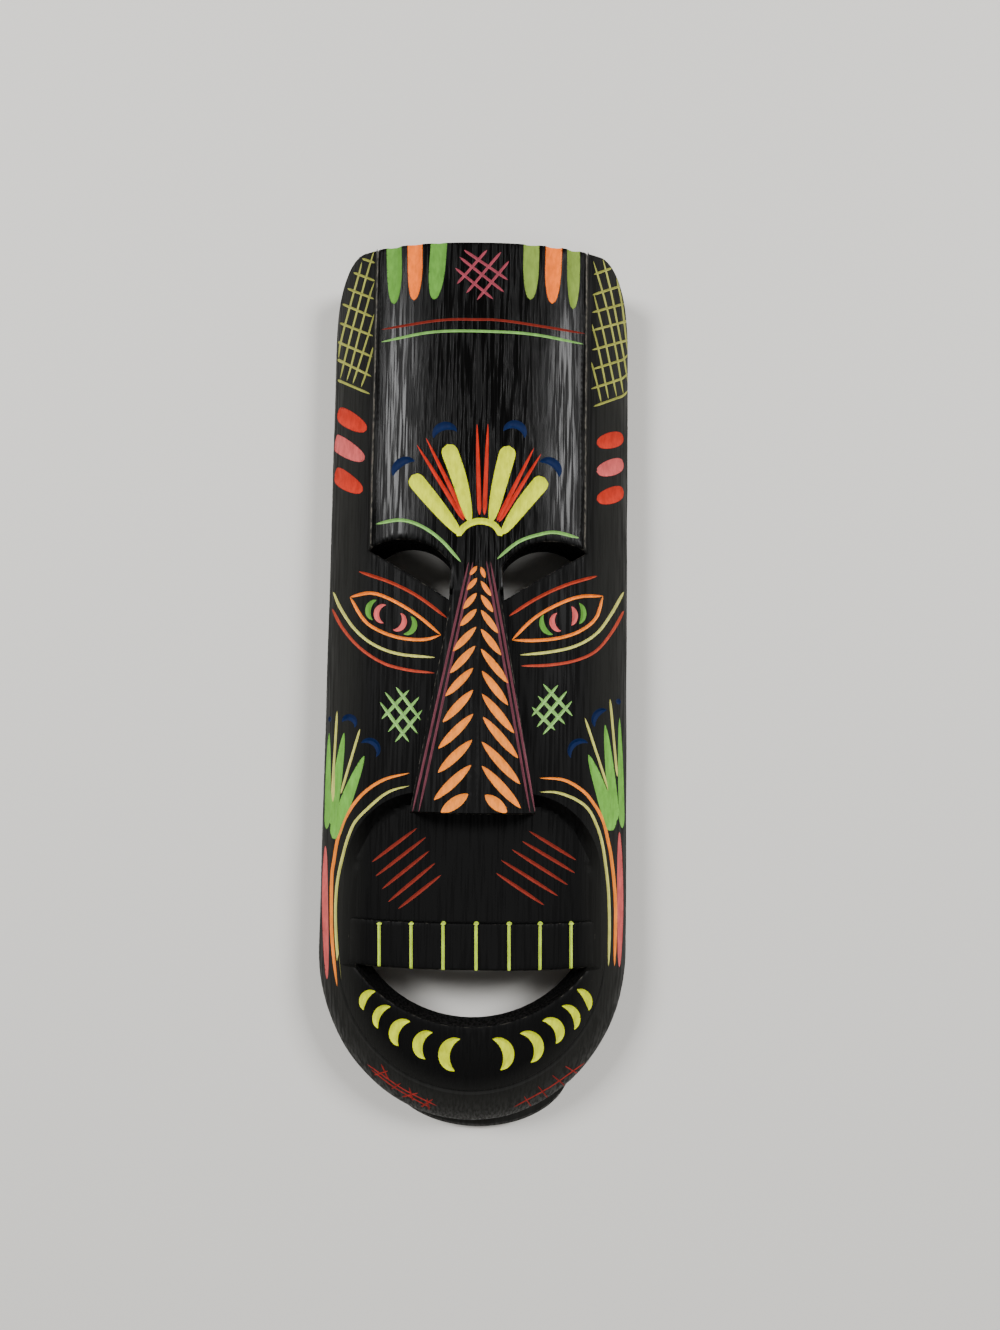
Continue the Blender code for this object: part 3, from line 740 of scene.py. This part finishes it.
# Round the sunk field: a salmon and a straw line down each cheek.
carve(SALMON, "line", 3.2, 1.0 * MM, [
    (409.5, 773, 385.5, 779, 367, 790, 354, 804, 344, 821, 337.6, 840, 334, 860, 331.5, 880,
     331.5, 926, 333.5, 956, 337, 986),
    (540, 778, 564, 780, 583, 791, 594, 804, 603, 820, 608, 840, 611.6, 860, 615.5, 903, 614.5,
     966),
])
carve(PALE_YELLOW, "line", 2.8, 0.9 * MM, [
    (409, 786, 396, 789, 383.5, 795, 367, 809, 355, 822, 349, 835, 344, 851, 337.5, 880, 335.5,
     910, 337, 949, 341, 982),
    (540, 792, 557, 792.5, 576, 799.5, 589, 810, 597.5, 827, 602, 842, 605, 860, 608.5, 891.5,
     609.5, 926, 608.5, 966),
])
carve(DEEP_RED, "hatch", 3.4, 1.1 * MM, [
    (417, 828, 372, 862), (426, 837, 376, 876), (429, 851, 382, 889), (435, 863, 388, 902),
    (441, 875, 398, 909), (529, 831, 576, 860), (522, 841, 575, 873), (512, 849.5, 568, 885),
    (501, 860, 558, 896), (496, 873, 544, 905),
])
tooth_places = (379, 411, 443, 476, 509, 540, 571)
carve(TOOTH, "border", 3.1, 1.0 * MM, [(x, 967, x, 923) for x in tooth_places], 3 * MM)
carve(TOOTH, "leaf", 3.4, 0.7 * MM, [(x - 2.5, 924, x + 3, 923.4) for x in tooth_places])

# The chin: a row of lemon crescents under the mouth, a dark crease round them, and red stitches on
# the band below it.
carve_moons(LEMON, 8.0, 1.3 * MM, [
    (375, 991.5, 359, 998, 363.5, 1010), (390.5, 1006.5, 373, 1013.5, 378, 1028.5),
    (562, 1006, 579, 1012.5, 574.5, 1029.5), (577, 989.5, 591, 995.7, 589, 1010.5),
])
carve_moons(LEMON, 10.5, 1.3 * MM, [
    (410, 1021.5, 389.5, 1028.5, 398.5, 1046), (432.5, 1032.5, 413, 1041, 425, 1059),
    (520, 1033.5, 544, 1044.5, 531, 1062.5), (542.5, 1021, 564.3, 1027, 556, 1043.5),
])
carve_moons(LEMON, 11.5, 1.3 * MM, [
    (460, 1039, 438.5, 1052, 454.5, 1071), (492.5, 1039, 514.6, 1053.6, 500.5, 1070),
])
carve(STITCH_RED, "line", 1.1, 0.6 * MM, [
    (367, 1064, 392, 1082, 410, 1093, 437, 1106), (371, 1069.5, 392, 1086, 412, 1098, 431, 1108),
    (585, 1062.5, 550, 1087, 513.5, 1107),
])
carve(STITCH_RED, "line", 1.2, 0.6 * MM, [
    (374, 1075, 388, 1071), (381, 1064, 389, 1081), (391, 1089, 401, 1083),
    (402, 1097, 418, 1093), (409, 1087, 413, 1101), (421, 1107, 433, 1099),
    (427, 1098, 429, 1110), (565, 1066, 577, 1073), (552, 1075, 566, 1086),
    (538, 1086, 549, 1099), (524, 1096, 531, 1106),
])

CREASE_FROM_SIDE = 15 * MM
CREASE_FROM_CHIN = 24 * MM
CREASE_WIDTH = 3.2 * MM
crease = log.unroll(np.array(chin_arc(HALF - CREASE_FROM_SIDE, CHIN_REACH - CREASE_FROM_CHIN)))
strokes.append({"paint": None, "taper": "line", "depth": 1.4 * MM, "path": crease,
                "half": CREASE_WIDTH / 2, "halves": np.full(len(crease), CREASE_WIDTH / 2)})


def ribbons_of(kind):
    """The ribbons of every stroke of one taper: a list of arrays, rings of profile points."""
    chosen = [stroke for stroke in strokes if stroke["taper"] == kind]
    data = bpy.data.curves.new(kind + " paths", "CURVE")
    data.dimensions = "3D"
    for stroke in chosen:
        path = stroke["path"]
        spline = data.splines.new("POLY")
        spline.points.add(len(path) - 1)
        for point, (u, v), radius in zip(spline.points, path, stroke["halves"]):
            point.co = (u, v, 0, 1)
            point.radius = radius
    guide = bpy.data.objects.new(kind + " paths", data)
    bpy.context.scene.collection.objects.link(guide)
    modifier = guide.modifiers.new("gouge strokes", "NODES")
    modifier.node_group = gouge_tree
    start, end, blunt, step = TAPERS[kind]
    values = {"Step": step, "Start share": start, "End share": end, "Bluntness": blunt,
              "Paint": chosen[0]["paint"]}
    for item in gouge_tree.interface.items_tree:
        if item.name in values and values[item.name] is not None:
            modifier[item.identifier] = values[item.name]
    bpy.context.view_layer.update()
    evaluated = guide.evaluated_get(bpy.context.evaluated_depsgraph_get())
    mesh = bpy.data.meshes.new_from_object(evaluated)
    guide.modifiers.remove(modifier)
    bpy.data.objects.remove(guide)
    points = np.array([vert.co[:] for vert in mesh.vertices])
    number = np.array([value.value for value in mesh.attributes["stroke"].data])
    bpy.data.meshes.remove(mesh)
    for index, stroke in enumerate(chosen):
        stroke["ribbon"] = points[number == index].reshape(-1, PROFILE_POINTS, 3)[:, :, :2]


for kind in TAPERS:
    ribbons_of(kind)


# The front as one sheet: every edge and stroke is a line that the triangles keep to, with an even
# net of points between, all of it on the log unrolled flat so that the flanks aren't stretched.
NET = 2.2 * MM
LINE_STEP = 1.8 * MM
SHEET_SCALE = 1000.0
MERGED = 0.004
CLEAR_OF_EDGE = 0.4
CLEAR_OF_LINE = 0.55
EDGE_RINGS = (0.45 * MM, 1.3 * MM)


def divided(points, step=LINE_STEP, closed=False):
    """The same line with a point at least every step."""
    points = list(points)
    if closed:
        points.append(points[0])
    out = []
    for a, b in zip(points, points[1:]):
        a, b = np.array(a), np.array(b)
        parts = max(1, math.ceil(np.linalg.norm(b - a) / step))
        out += [a + (b - a) * part / parts for part in range(parts)]
    if not closed:
        out.append(np.array(points[-1]))
    return np.array(out)


def offset(outline, distance):
    """The outline drawn outwards, or inwards where the distance is negative."""
    before = np.roll(outline, 1, axis=0)
    after = np.roll(outline, -1, axis=0)
    normals = []
    for way in (outline - before, after - outline):
        way = way / (np.linalg.norm(way, axis=1, keepdims=True) + 1e-12)
        normals.append(np.stack([way[:, 1], -way[:, 0]], 1))
    both = normals[0] + normals[1]
    both /= np.maximum((both**2).sum(1, keepdims=True) / 2, 0.5)
    return outline + both * distance


class Sheet:
    """Points and lines collected for one triangulation."""

    def __init__(self, arch):
        self.arch = arch
        self.points = []
        self.edges = []

    def add_line(self, xy, closed=False, flat=False):
        uv = xy if flat else self.arch.unroll(np.asarray(xy))
        first = len(self.points)
        self.points += [tuple(point) for point in uv]
        count = len(uv)
        self.edges += [(first + i, first + i + 1) for i in range(count - 1)]
        if closed:
            self.edges.append((first + count - 1, first))

    def add_net(self, spacing, outline, holes):
        """An even net of points inside the outline, off the holes and clear of every line."""
        tree = KDTree(len(self.points))
        for index, (u, v) in enumerate(self.points):
            tree.insert((u, v, 0), index)
        tree.balance()
        low, high = outline.min(0), outline.max(0)
        rows = np.arange(low[1], high[1], spacing * math.sqrt(3) / 2)
        net = []
        for number, v in enumerate(rows):
            start = low[0] + (spacing / 2 if number % 2 else 0)
            net += [(u, v) for u in np.arange(start, high[0], spacing)]
        net = np.array(net)
        keep = signed_distance(net, outline) > spacing * CLEAR_OF_EDGE
        for hole in holes:
            keep &= signed_distance(net, hole) < -spacing * CLEAR_OF_EDGE
        for u, v in net[keep]:
            if tree.find((u, v, 0))[2] > spacing * CLEAR_OF_LINE:
                self.points.append((u, v))

    def triangles(self, outline, holes):
        """The sheet's points and triangles, off the holes and kept to every line."""
        points = [Vector((u, v)) * SHEET_SCALE for u, v in self.points]
        result = delaunay_2d_cdt(points, self.edges, [], 0, MERGED, False)
        uv = np.array([point[:] for point in result[0]]) / SHEET_SCALE
        corners = np.array([face for face in result[2]])
        centres = uv[corners].mean(1)
        keep = signed_distance(centres, outline) > 0
        for hole in holes:
            keep &= signed_distance(centres, hole) < 0
        return uv, corners[keep]


def loops_of(corners):
    """The closed borders of a sheet of triangles, each as a list of point numbers in order."""
    after = {}
    seen = set()
    for a, b, c in corners:
        seen.update(((a, b), (b, c), (c, a)))
    for a, b in seen:
        if (b, a) not in seen:
            after[a] = b
    loops = []
    while after:
        start, here = after.popitem()
        loop = [start]
        while here != start:
            loop.append(here)
            here = after.pop(here)
        loops.append(loop)
    return loops


outline = divided(log_outline(), closed=True)
eyes = {side: eye_outline(0, side) for side in (-1, 1)}
mouth = mouth_outline(0)
hole_outlines = [divided(shape, closed=True) for shape in (eyes[-1], eyes[1], mouth)]

sheet = Sheet(log)
sheet.add_line(outline, closed=True)
for shape in hole_outlines:
    sheet.add_line(shape, closed=True)
    for distance in EDGE_RINGS:
        sheet.add_line(offset(shape, distance), closed=True)
for distance in EDGE_RINGS:
    sheet.add_line(offset(outline, -distance), closed=True)
for shape, edge in ((panel_outline, SLOPED_EDGE), (nose_outline, UPRIGHT_EDGE),
                    (teeth_outline, UPRIGHT_EDGE)):
    for distance in edge:
        sheet.add_line(divided(offset(shape, -distance), closed=True), closed=True)
sheet.add_line(divided([(0, NOSE_BASE_Y), (0, NOSE_TOP_Y)]))
sheet.add_line(divided(recess_outline(0, MOUTH_Y)))
sheet.add_line(divided(recess_outline(RECESS_WALL_RUN, MOUTH_Y)))
for y in (MOUTH_Y, MOUTH_Y - STEP_RUN):
    for side in (-1, 1):
        sheet.add_line(divided([(side * MOUTH_HALF, y), (side * RECESS_HALF, y)]))

for stroke in strokes:
    rings = stroke["ribbon"]
    for place in range(PROFILE_POINTS):
        sheet.add_line(rings[:, place], flat=True)
    for end in (rings[0], rings[-1]):
        sheet.add_line(end, flat=True)
    stroke["rim"] = np.vstack([rings[:, 0], rings[::-1, -1]])

flat_outline = log.unroll(outline)
flat_holes = [log.unroll(shape) for shape in hole_outlines]
sheet.add_net(NET, flat_outline, flat_holes)
uv, front_corners = sheet.triangles(flat_outline, flat_holes)
xy = log.roll(uv)

WORN_REACH = 1.3 * MM
WORN_DROP = 0.5 * MM
TOOL_WAVE = 0.22 * MM
WAVE_WIDTH = 16 * MM
WAVE_LENGTH = 34 * MM
BROAD = 2.2 * MM


def gouged(uv):
    """Depth of the strokes at each point of the sheet, how far in from a stroke's rim it is, and
    the number of the last stroke that covers it, or -1."""
    depth, share = np.zeros((2, len(uv)))
    cover = np.full(len(uv), -1)
    for number, stroke in enumerate(strokes):
        rim = stroke["rim"]
        near = np.nonzero(((uv > rim.min(0)) & (uv < rim.max(0))).all(1))[0]
        inner = np.clip(signed_distance(uv[near], rim) / stroke["half"], 0, 1)
        section = 1 - (1 - inner) ** 2 if stroke["half"] > BROAD else inner
        depth[near] = np.maximum(depth[near], stroke["depth"] * section)
        share[near] = np.maximum(share[near], inner)
        cover[near[inner > 0]] = number
    return depth, share, cover


def worn(distance):
    """How much handling rounds a sawn edge off, by distance from it."""
    left = np.clip(1 - distance / WORN_REACH, 0, 1)
    return WORN_DROP * left**2


depth, rim_share = gouged(uv)[:2]
probe = 0.2 * MM
slope_x = (log.height(xy + (probe, 0)) - log.height(xy - (probe, 0))) / (2 * probe)
slope_y = (log.height(xy + (0, probe)) - log.height(xy - (0, probe))) / (2 * probe)
out_way = np.stack([-slope_x, -slope_y, np.ones(len(xy))], 1)
out_way /= np.linalg.norm(out_way, axis=1, keepdims=True)
edge_distance = signed_distance(xy, log_outline())
for shape in (eyes[-1], eyes[1], mouth):
    edge_distance = np.minimum(edge_distance, -signed_distance(xy, shape))
wave = np.array([noise.noise(Vector((u / WAVE_WIDTH, v / WAVE_LENGTH, 0.7))) for u, v in uv])
sink = depth + worn(np.maximum(edge_distance, 0)) - TOOL_WAVE * wave
front = np.column_stack([xy, front_height(xy)]) - out_way * sink[:, None]

# The hollow behind: roughed out with a wide gouge to an even wall, leaving a flat rim that the
# mask hangs or lies on. The back isn't in the photograph, so this follows how such masks are made.
WALL = 20 * MM
RIM_ROUND = 1.0 * MM
hollow = Arch(HALF - WALL, CHIN_REACH - WALL, 0, CROWN - WALL)
HOLLOW_TOP = TOP - WALL
SCALLOP = 0.7 * MM
SCALLOP_WIDTH = 11 * MM
SCALLOP_LENGTH = 26 * MM
BACK_STEP = 2.5 * MM
BACK_NET = 3.2 * MM


def hollow_height(xy):
    open_end = np.clip((HOLLOW_TOP - xy[..., 1]) / STEP_RUN, 0, 1)
    return hollow.height(xy) * np.where(hollow.place(xy)[2] < 1, 1, 0) * open_end


def matching_point(point, shape, partner):
    """The point of a narrowed outline that stands for a point of the outline."""
    after = np.roll(shape, -1, axis=0)
    way = after - shape
    t = np.clip(((point - shape) * way).sum(1) / np.maximum((way**2).sum(1), 1e-18), 0, 1)
    away = np.linalg.norm(point - shape - t[:, None] * way, axis=1)
    nearest = int(np.argmin(away))
    following = np.roll(partner, -1, axis=0)[nearest]
    return partner[nearest] + (following - partner[nearest]) * t[nearest]


WALL_ROWS = 5
WALL_LEVELS = 160
HEEL_ROUND = 2.2 * MM
HEEL_SLOPE_SHARE = 0.7
RIM_BEVEL = 0.4 * MM
RIM_BEVEL_SHARE = 0.98
points = [tuple(point) for point in front]
faces = [tuple(int(corner) for corner in corners) for corners in front_corners]
narrowed = {-1: eye_outline(EYE_NARROWING, -1), 1: eye_outline(EYE_NARROWING, 1)}
back_loops = []


def wall_between(loop, columns):
    """Side faces down from a border of the front, one column of points for each of its points."""
    rows = len(columns[0])
    first = len(points)
    for column in columns:
        points.extend(tuple(point) for point in column)
    grid = [[loop[i]] + [first + i * rows + r for r in range(rows)] for i in range(len(loop))]
    for i in range(len(loop)):
        left, right = grid[i], grid[(i + 1) % len(loop)]
        for r in range(rows):
            faces.append((left[r], left[r + 1], right[r + 1], right[r]))
    return [column[-1] for column in columns], [line[-1] for line in grid]


def heel_push(x, y):
    """How far the heel's outline stands past the chin's at this place of the outline."""
    reach = 1 - ((x - HEEL_SHIFT) / HEEL_HALF) ** 2
    if y > CHIN_Y or reach <= 0:
        return 0.0
    heel_y = BOTTOM + HEEL_DEPTH * (1 - math.sqrt(reach))
    return max(0.0, y - heel_y)


for loop in loops_of(front_corners):
    ring = xy[loop]
    middle = ring.mean(0)
    span = ring.max(0) - ring.min(0)
    columns = []
    if span[1] > TOP:
        for index in loop:
            x, y = xy[index]
            z = front[index][2]
            push = heel_push(x, y)
            low = min(z - 0.5 * MM, HEEL_HEIGHT)
            columns.append([(x, y, low + (z - low) * 0.5), (x, y, low),
                            (x, y - max(push - HEEL_ROUND, 0), low - 0.2 * MM),
                            (x, y - push, low * HEEL_SLOPE_SHARE), (x, y - push, RIM_BEVEL),
                            (x, y - push * RIM_BEVEL_SHARE, 0)])
    else:
        if middle[1] < 0:
            shape, partner = mouth, mouth_outline(MOUTH_NARROWING)
        else:
            side = 1 if middle[0] > 0 else -1
            shape, partner = eyes[side], narrowed[side]
        upright = CROWN - WALL
        for index in loop:
            start = np.array(xy[index])
            target = matching_point(start, shape, partner)
            levels = np.linspace(min(front[index][2], upright), 0, WALL_LEVELS)
            share = np.clip((upright - levels) / upright, 0, 1)[:, None]
            way = start * (1 - share) + target * share
            hit = int(np.argmax(levels <= hollow_height(way)))
            floor = levels[hit]
            rows = np.linspace(front[index][2], floor, WALL_ROWS + 1)[1:]
            column = []
            for z in rows:
                t = min(max((upright - z) / upright, 0), 1)
                column.append((*(start * (1 - t) + target * t), z))
            columns.append(column)
    feet, numbers = wall_between(loop, columns)
    back_loops.append((np.array(feet), numbers, span[1] > TOP))

back = Sheet(hollow)
for feet, numbers, is_outer in back_loops:
    back.add_line(feet[:, :2], closed=True)
    if is_outer:
        back_outline = hollow.unroll(feet[:, :2])
back_holes = [hollow.unroll(feet[:, :2]) for feet, numbers, is_outer in back_loops if not is_outer]
for reach in (0.0, RIM_ROUND):
    half, deep = HALF - WALL + reach, CHIN_REACH - WALL + reach
    rim = [(-half, HOLLOW_TOP + reach)] + chin_arc(half, deep) + [(half, HOLLOW_TOP + reach)]
    back.add_line(divided(rim, BACK_STEP, closed=True), closed=True)
step_ends = [(side * (HALF - WALL), HOLLOW_TOP - STEP_RUN) for side in (-1, 1)]
back.add_line(divided(step_ends, BACK_STEP))
back.add_net(BACK_NET, back_outline, back_holes)
back_uv, back_corners = back.triangles(back_outline, back_holes)
back_xy = hollow.roll(back_uv)
back_z = hollow_height(back_xy)

# Scallops of the wide gouge, longer down the grain than across it.
inside = (hollow.place(back_xy)[2] < 0.97) & (back_xy[:, 1] < HOLLOW_TOP - 2 * MM)
for index in np.nonzero(inside)[0]:
    cell = Vector((back_uv[index][0] / SCALLOP_WIDTH, back_uv[index][1] / SCALLOP_LENGTH, 0.3))
    spread = noise.voronoi(cell)[0][0]
    back_z[index] += SCALLOP * (0.5 - spread) * min(1, back_z[index] / (8 * MM))

first = len(points)
points += [(x, y, z) for (x, y), z in zip(back_xy, back_z)]
known = KDTree(len(back_uv))
for index, (x, y) in enumerate(back_xy):
    known.insert((x, y, 0), index)
known.balance()
for feet, numbers, is_outer in back_loops:
    for foot, number in zip(feet, numbers):
        match = known.find((foot[0], foot[1], 0))
        points[first + match[1]] = tuple(foot)
faces += [(first + c, first + b, first + a) for a, b, c in back_corners.tolist()]


# Glossy black enamel brushed over open-pored wood: deep black with a soft sheen that breaks up into
# upright streaks where the grain's pores show through, and lighter grey at the edges, partly
# scuffed paint and partly painted highlights.
GRAIN_WIDTH = 1.3 * MM
GRAIN_LENGTH = 34 * MM
BARE_GRAIN = (1.6 * MM, 45 * MM, 1.6 * MM)
BRUSH_PATCH = 26 * MM
SCUFF = 3 * MM


def black_enamel():
    """The mesh's polish value makes the forehead panel shinier. Another value makes the black of
    the flanks a little paler, partly for their duller paint and partly as a painted reflection of
    the pale room and side light off their steep sides. Its edge value says where the edges are
    painted lighter grey, partly for paint rubbed off and partly as painted highlights."""
    material, tree, shader, place = new_material("black enamel on open-pored wood")
    upright = stretched(tree, place, (1 / GRAIN_WIDTH, 1 / GRAIN_LENGTH, 0.4 / GRAIN_WIDTH))
    grain = noise_at(tree, upright, 1.0, 2.0)
    brushed = noise_at(tree, place, 1 / BRUSH_PATCH, 3.0)
    # Paler black out on the flanks: partly their duller paint, partly a painted reflection of the
    # room and side light off their steep sides.
    tone = mixed(tree, mesh_value(tree, "flank"), linear("#050505"), linear("#1E1E1C"))
    # Lighter grey along the edges: partly paint scuffed off, partly painted highlights.
    scuffs_and_glints = noise_at(tree, place, 1 / SCUFF, 4.0)
    rubbed_and_highlit = maths(tree, "MULTIPLY", mesh_value(tree, "edge"), scuffs_and_glints)
    colour = mixed(tree, ranged(tree, rubbed_and_highlit, 0.38, 0.62, 0.0, 0.75), tone, linear("#6A655C"))
    dull = ranged(tree, grain, 0.60, 0.38, 0.20, 0.52)
    patchy = maths(tree, "MULTIPLY_ADD", brushed, 0.10, dull)
    matte = maths(tree, "MULTIPLY_ADD", mesh_value(tree, "polish"), -0.30, patchy)
    tree.links.new(maths(tree, "ADD", matte, 0.24), shader.inputs["Roughness"])
    shader.inputs["IOR"].default_value = 1.5
    shader.inputs["Specular IOR Level"].default_value = 0.11
    pores = ranged(tree, grain, 0.41, 0.49)
    finish_material(tree, shader, colour, pores, 0.8, 0.09 * MM)
    return material


def stained_wood():
    """Dark spirit stain on bare wood: brown-black and dull, with the grain showing as fine lighter
    and darker streaks."""
    material, tree, shader, place = new_material("dark stained wood")
    grain = noise_at(tree, stretched(tree, place, [1 / size for size in BARE_GRAIN]), 1.0, 5.0, 0.6)
    colour = mixed(tree, grain, linear("#17100B"), linear("#4C3727"))
    shader.inputs["Roughness"].default_value = 0.72
    finish_material(tree, shader, colour, grain, 0.5, 0.3 * MM)
    return material


mesh = bpy.data.meshes.new("carved_mask")
mesh.from_pydata(points, [], faces)
black, stain = black_enamel(), stained_wood()
palette = [black, stain] + sorted({s["paint"] for s in strokes if s["paint"]}, key=lambda m: m.name)
for material in palette:
    mesh.materials.append(material)
slots = np.zeros(len(faces), np.int32)
covers = gouged(uv[front_corners].mean(1))[2]
for index in np.nonzero(covers >= 0)[0]:
    if strokes[covers[index]]["paint"]:
        slots[index] = palette.index(strokes[covers[index]]["paint"])
slots[len(faces) - len(back_corners):] = 1
mesh.polygons.foreach_set("material_index", slots)

# How far in and how strongly the edges are painted lighter: partly rubbed paint, partly painted
# highlights.
WORN_AND_HIGHLIT_REACH = 1.4 * MM
SAWN_WEAR_AND_HIGHLIGHT = 0.8
PANEL_WEAR_AND_HIGHLIGHT = 1.15
NOSE_WEAR_AND_HIGHLIGHT = 0.9
TEETH_WEAR_AND_HIGHLIGHT = 0.7
# Where the black starts to be painted paler towards the sides, partly duller paint and partly
# painted reflection.
FLANK_FROM = 0.66
FLANK_RUN = 0.16
share_out = log.place(np.array(points)[:, :2])[2]
values = {
    "flank": np.clip((share_out - FLANK_FROM) / FLANK_RUN, 0, 1),
    "cut": np.concatenate([rim_share, np.zeros(len(points) - len(front))]),
    "edge": np.zeros(len(points)),
    "polish": np.zeros(len(points)),
}
# The sawn edges, then the edges of the panel, nose and teeth, painted lighter for wear and as
# painted highlights.
from_middle = np.abs(xy[:, 0])
by_mouth = (from_middle < MOUTH_HALF + WORN_AND_HIGHLIT_REACH) & (xy[:, 1] > CHIN_Y - CHIN_REACH / 2)
sawn = (xy[:, 1] > TOP - SHOULDER_DROP / 2) | by_mouth
edge_wear_and_highlight = SAWN_WEAR_AND_HIGHLIGHT * sawn * np.clip(1 - edge_distance / WORN_AND_HIGHLIT_REACH, 0, 1)
shown = (from_middle > EYE_LOW_X) | (xy[:, 1] < NOSE_TOP_Y - EYE_ARC_DROP)
for shape, edge, rubbing_and_highlight in ((panel_outline, SLOPED_EDGE, PANEL_WEAR_AND_HIGHLIGHT),
                             (nose_outline, UPRIGHT_EDGE, NOSE_WEAR_AND_HIGHLIGHT),
                             (teeth_outline, UPRIGHT_EDGE, TEETH_WEAR_AND_HIGHLIGHT)):
    away = np.abs(signed_distance(xy, shape) - edge[1])
    edge_wear_and_highlight = np.maximum(edge_wear_and_highlight, rubbing_and_highlight * shown * np.clip(1 - away / WORN_AND_HIGHLIT_REACH, 0, 1))
values["edge"][:len(front)] = edge_wear_and_highlight
values["polish"][:len(front)] = signed_distance(xy, panel_outline) > 0
for name, array in values.items():
    attribute = mesh.attributes.new(name, "FLOAT", "POINT")
    attribute.data.foreach_set("value", array.astype(np.float32))

SAME_PLACE = 0.004 * MM
SHORTEST_EDGE = 0.001 * MM
SHARP_ANGLE = 38

bm = bmesh.new()
bm.from_mesh(mesh)
bmesh.ops.remove_doubles(bm, verts=bm.verts, dist=SAME_PLACE)
bmesh.ops.dissolve_degenerate(bm, edges=bm.edges, dist=SHORTEST_EDGE)
loose = [vert for vert in bm.verts if not vert.link_faces]
bmesh.ops.delete(bm, geom=loose, context="VERTS")
bm.edges.index_update()
paint_edges = [edge.index for edge in bm.edges
               if len({face.material_index for face in edge.link_faces}) > 1]
bm.to_mesh(mesh)
bm.free()
mesh.shade_smooth()
mesh.set_sharp_from_angle(angle=math.radians(SHARP_ANGLE))
sharp = np.zeros(len(mesh.edges), bool)
mesh.attributes["sharp_edge"].data.foreach_get("value", sharp)
sharp[paint_edges] = True
mesh.attributes["sharp_edge"].data.foreach_set("value", sharp)

mask = bpy.data.objects.new("carved_mask", mesh)
bpy.context.scene.collection.objects.link(mask)
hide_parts("mask")
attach(mask, "root")


# The table: plain pale laminate, with soft light from two large windows up the table.
FLOOR_HALF = 3.0
floor_mesh = bpy.data.meshes.new("floor")
corners = [(-FLOOR_HALF, -FLOOR_HALF, 0), (FLOOR_HALF, -FLOOR_HALF, 0),
           (FLOOR_HALF, FLOOR_HALF, 0), (-FLOOR_HALF, FLOOR_HALF, 0)]
floor_mesh.from_pydata(corners, [], [(0, 1, 2, 3)])
laminate = bpy.data.materials.new("pale laminate")
laminate.use_nodes = True
surface = laminate.node_tree.nodes["Principled BSDF"].inputs
surface["Base Color"].default_value = linear("#DCDAD5")
surface["Roughness"].default_value = 0.65
floor_mesh.materials.append(laminate)
floor = bpy.data.objects.new("floor", floor_mesh)
bpy.context.scene.collection.objects.link(floor)

LIGHT_SIZE = 0.65
LIT_PLACE = Vector((0, 0, 0.03))
for name, place, power in (("left light", (-1.36, 0.82, 1.78), 50),
                           ("right light", (1.39, 0.82, 1.78), 50),
                           ("overhead light", (0.1, -1.3, 2.6), 16)):
    light = bpy.data.objects.new(name, bpy.data.lights.new(name, "AREA"))
    light.data.size = LIGHT_SIZE
    light.data.energy = power
    light.location = place
    light.rotation_euler = (LIT_PLACE - Vector(place)).to_track_quat("-Z", "Y").to_euler()
    bpy.context.scene.collection.objects.link(light)
room = bpy.data.worlds.new("room")
room.use_nodes = True
room.node_tree.nodes["Background"].inputs["Color"].default_value = linear("#F4F2EE")
room.node_tree.nodes["Background"].inputs["Strength"].default_value = 0.2
bpy.context.scene.world = room
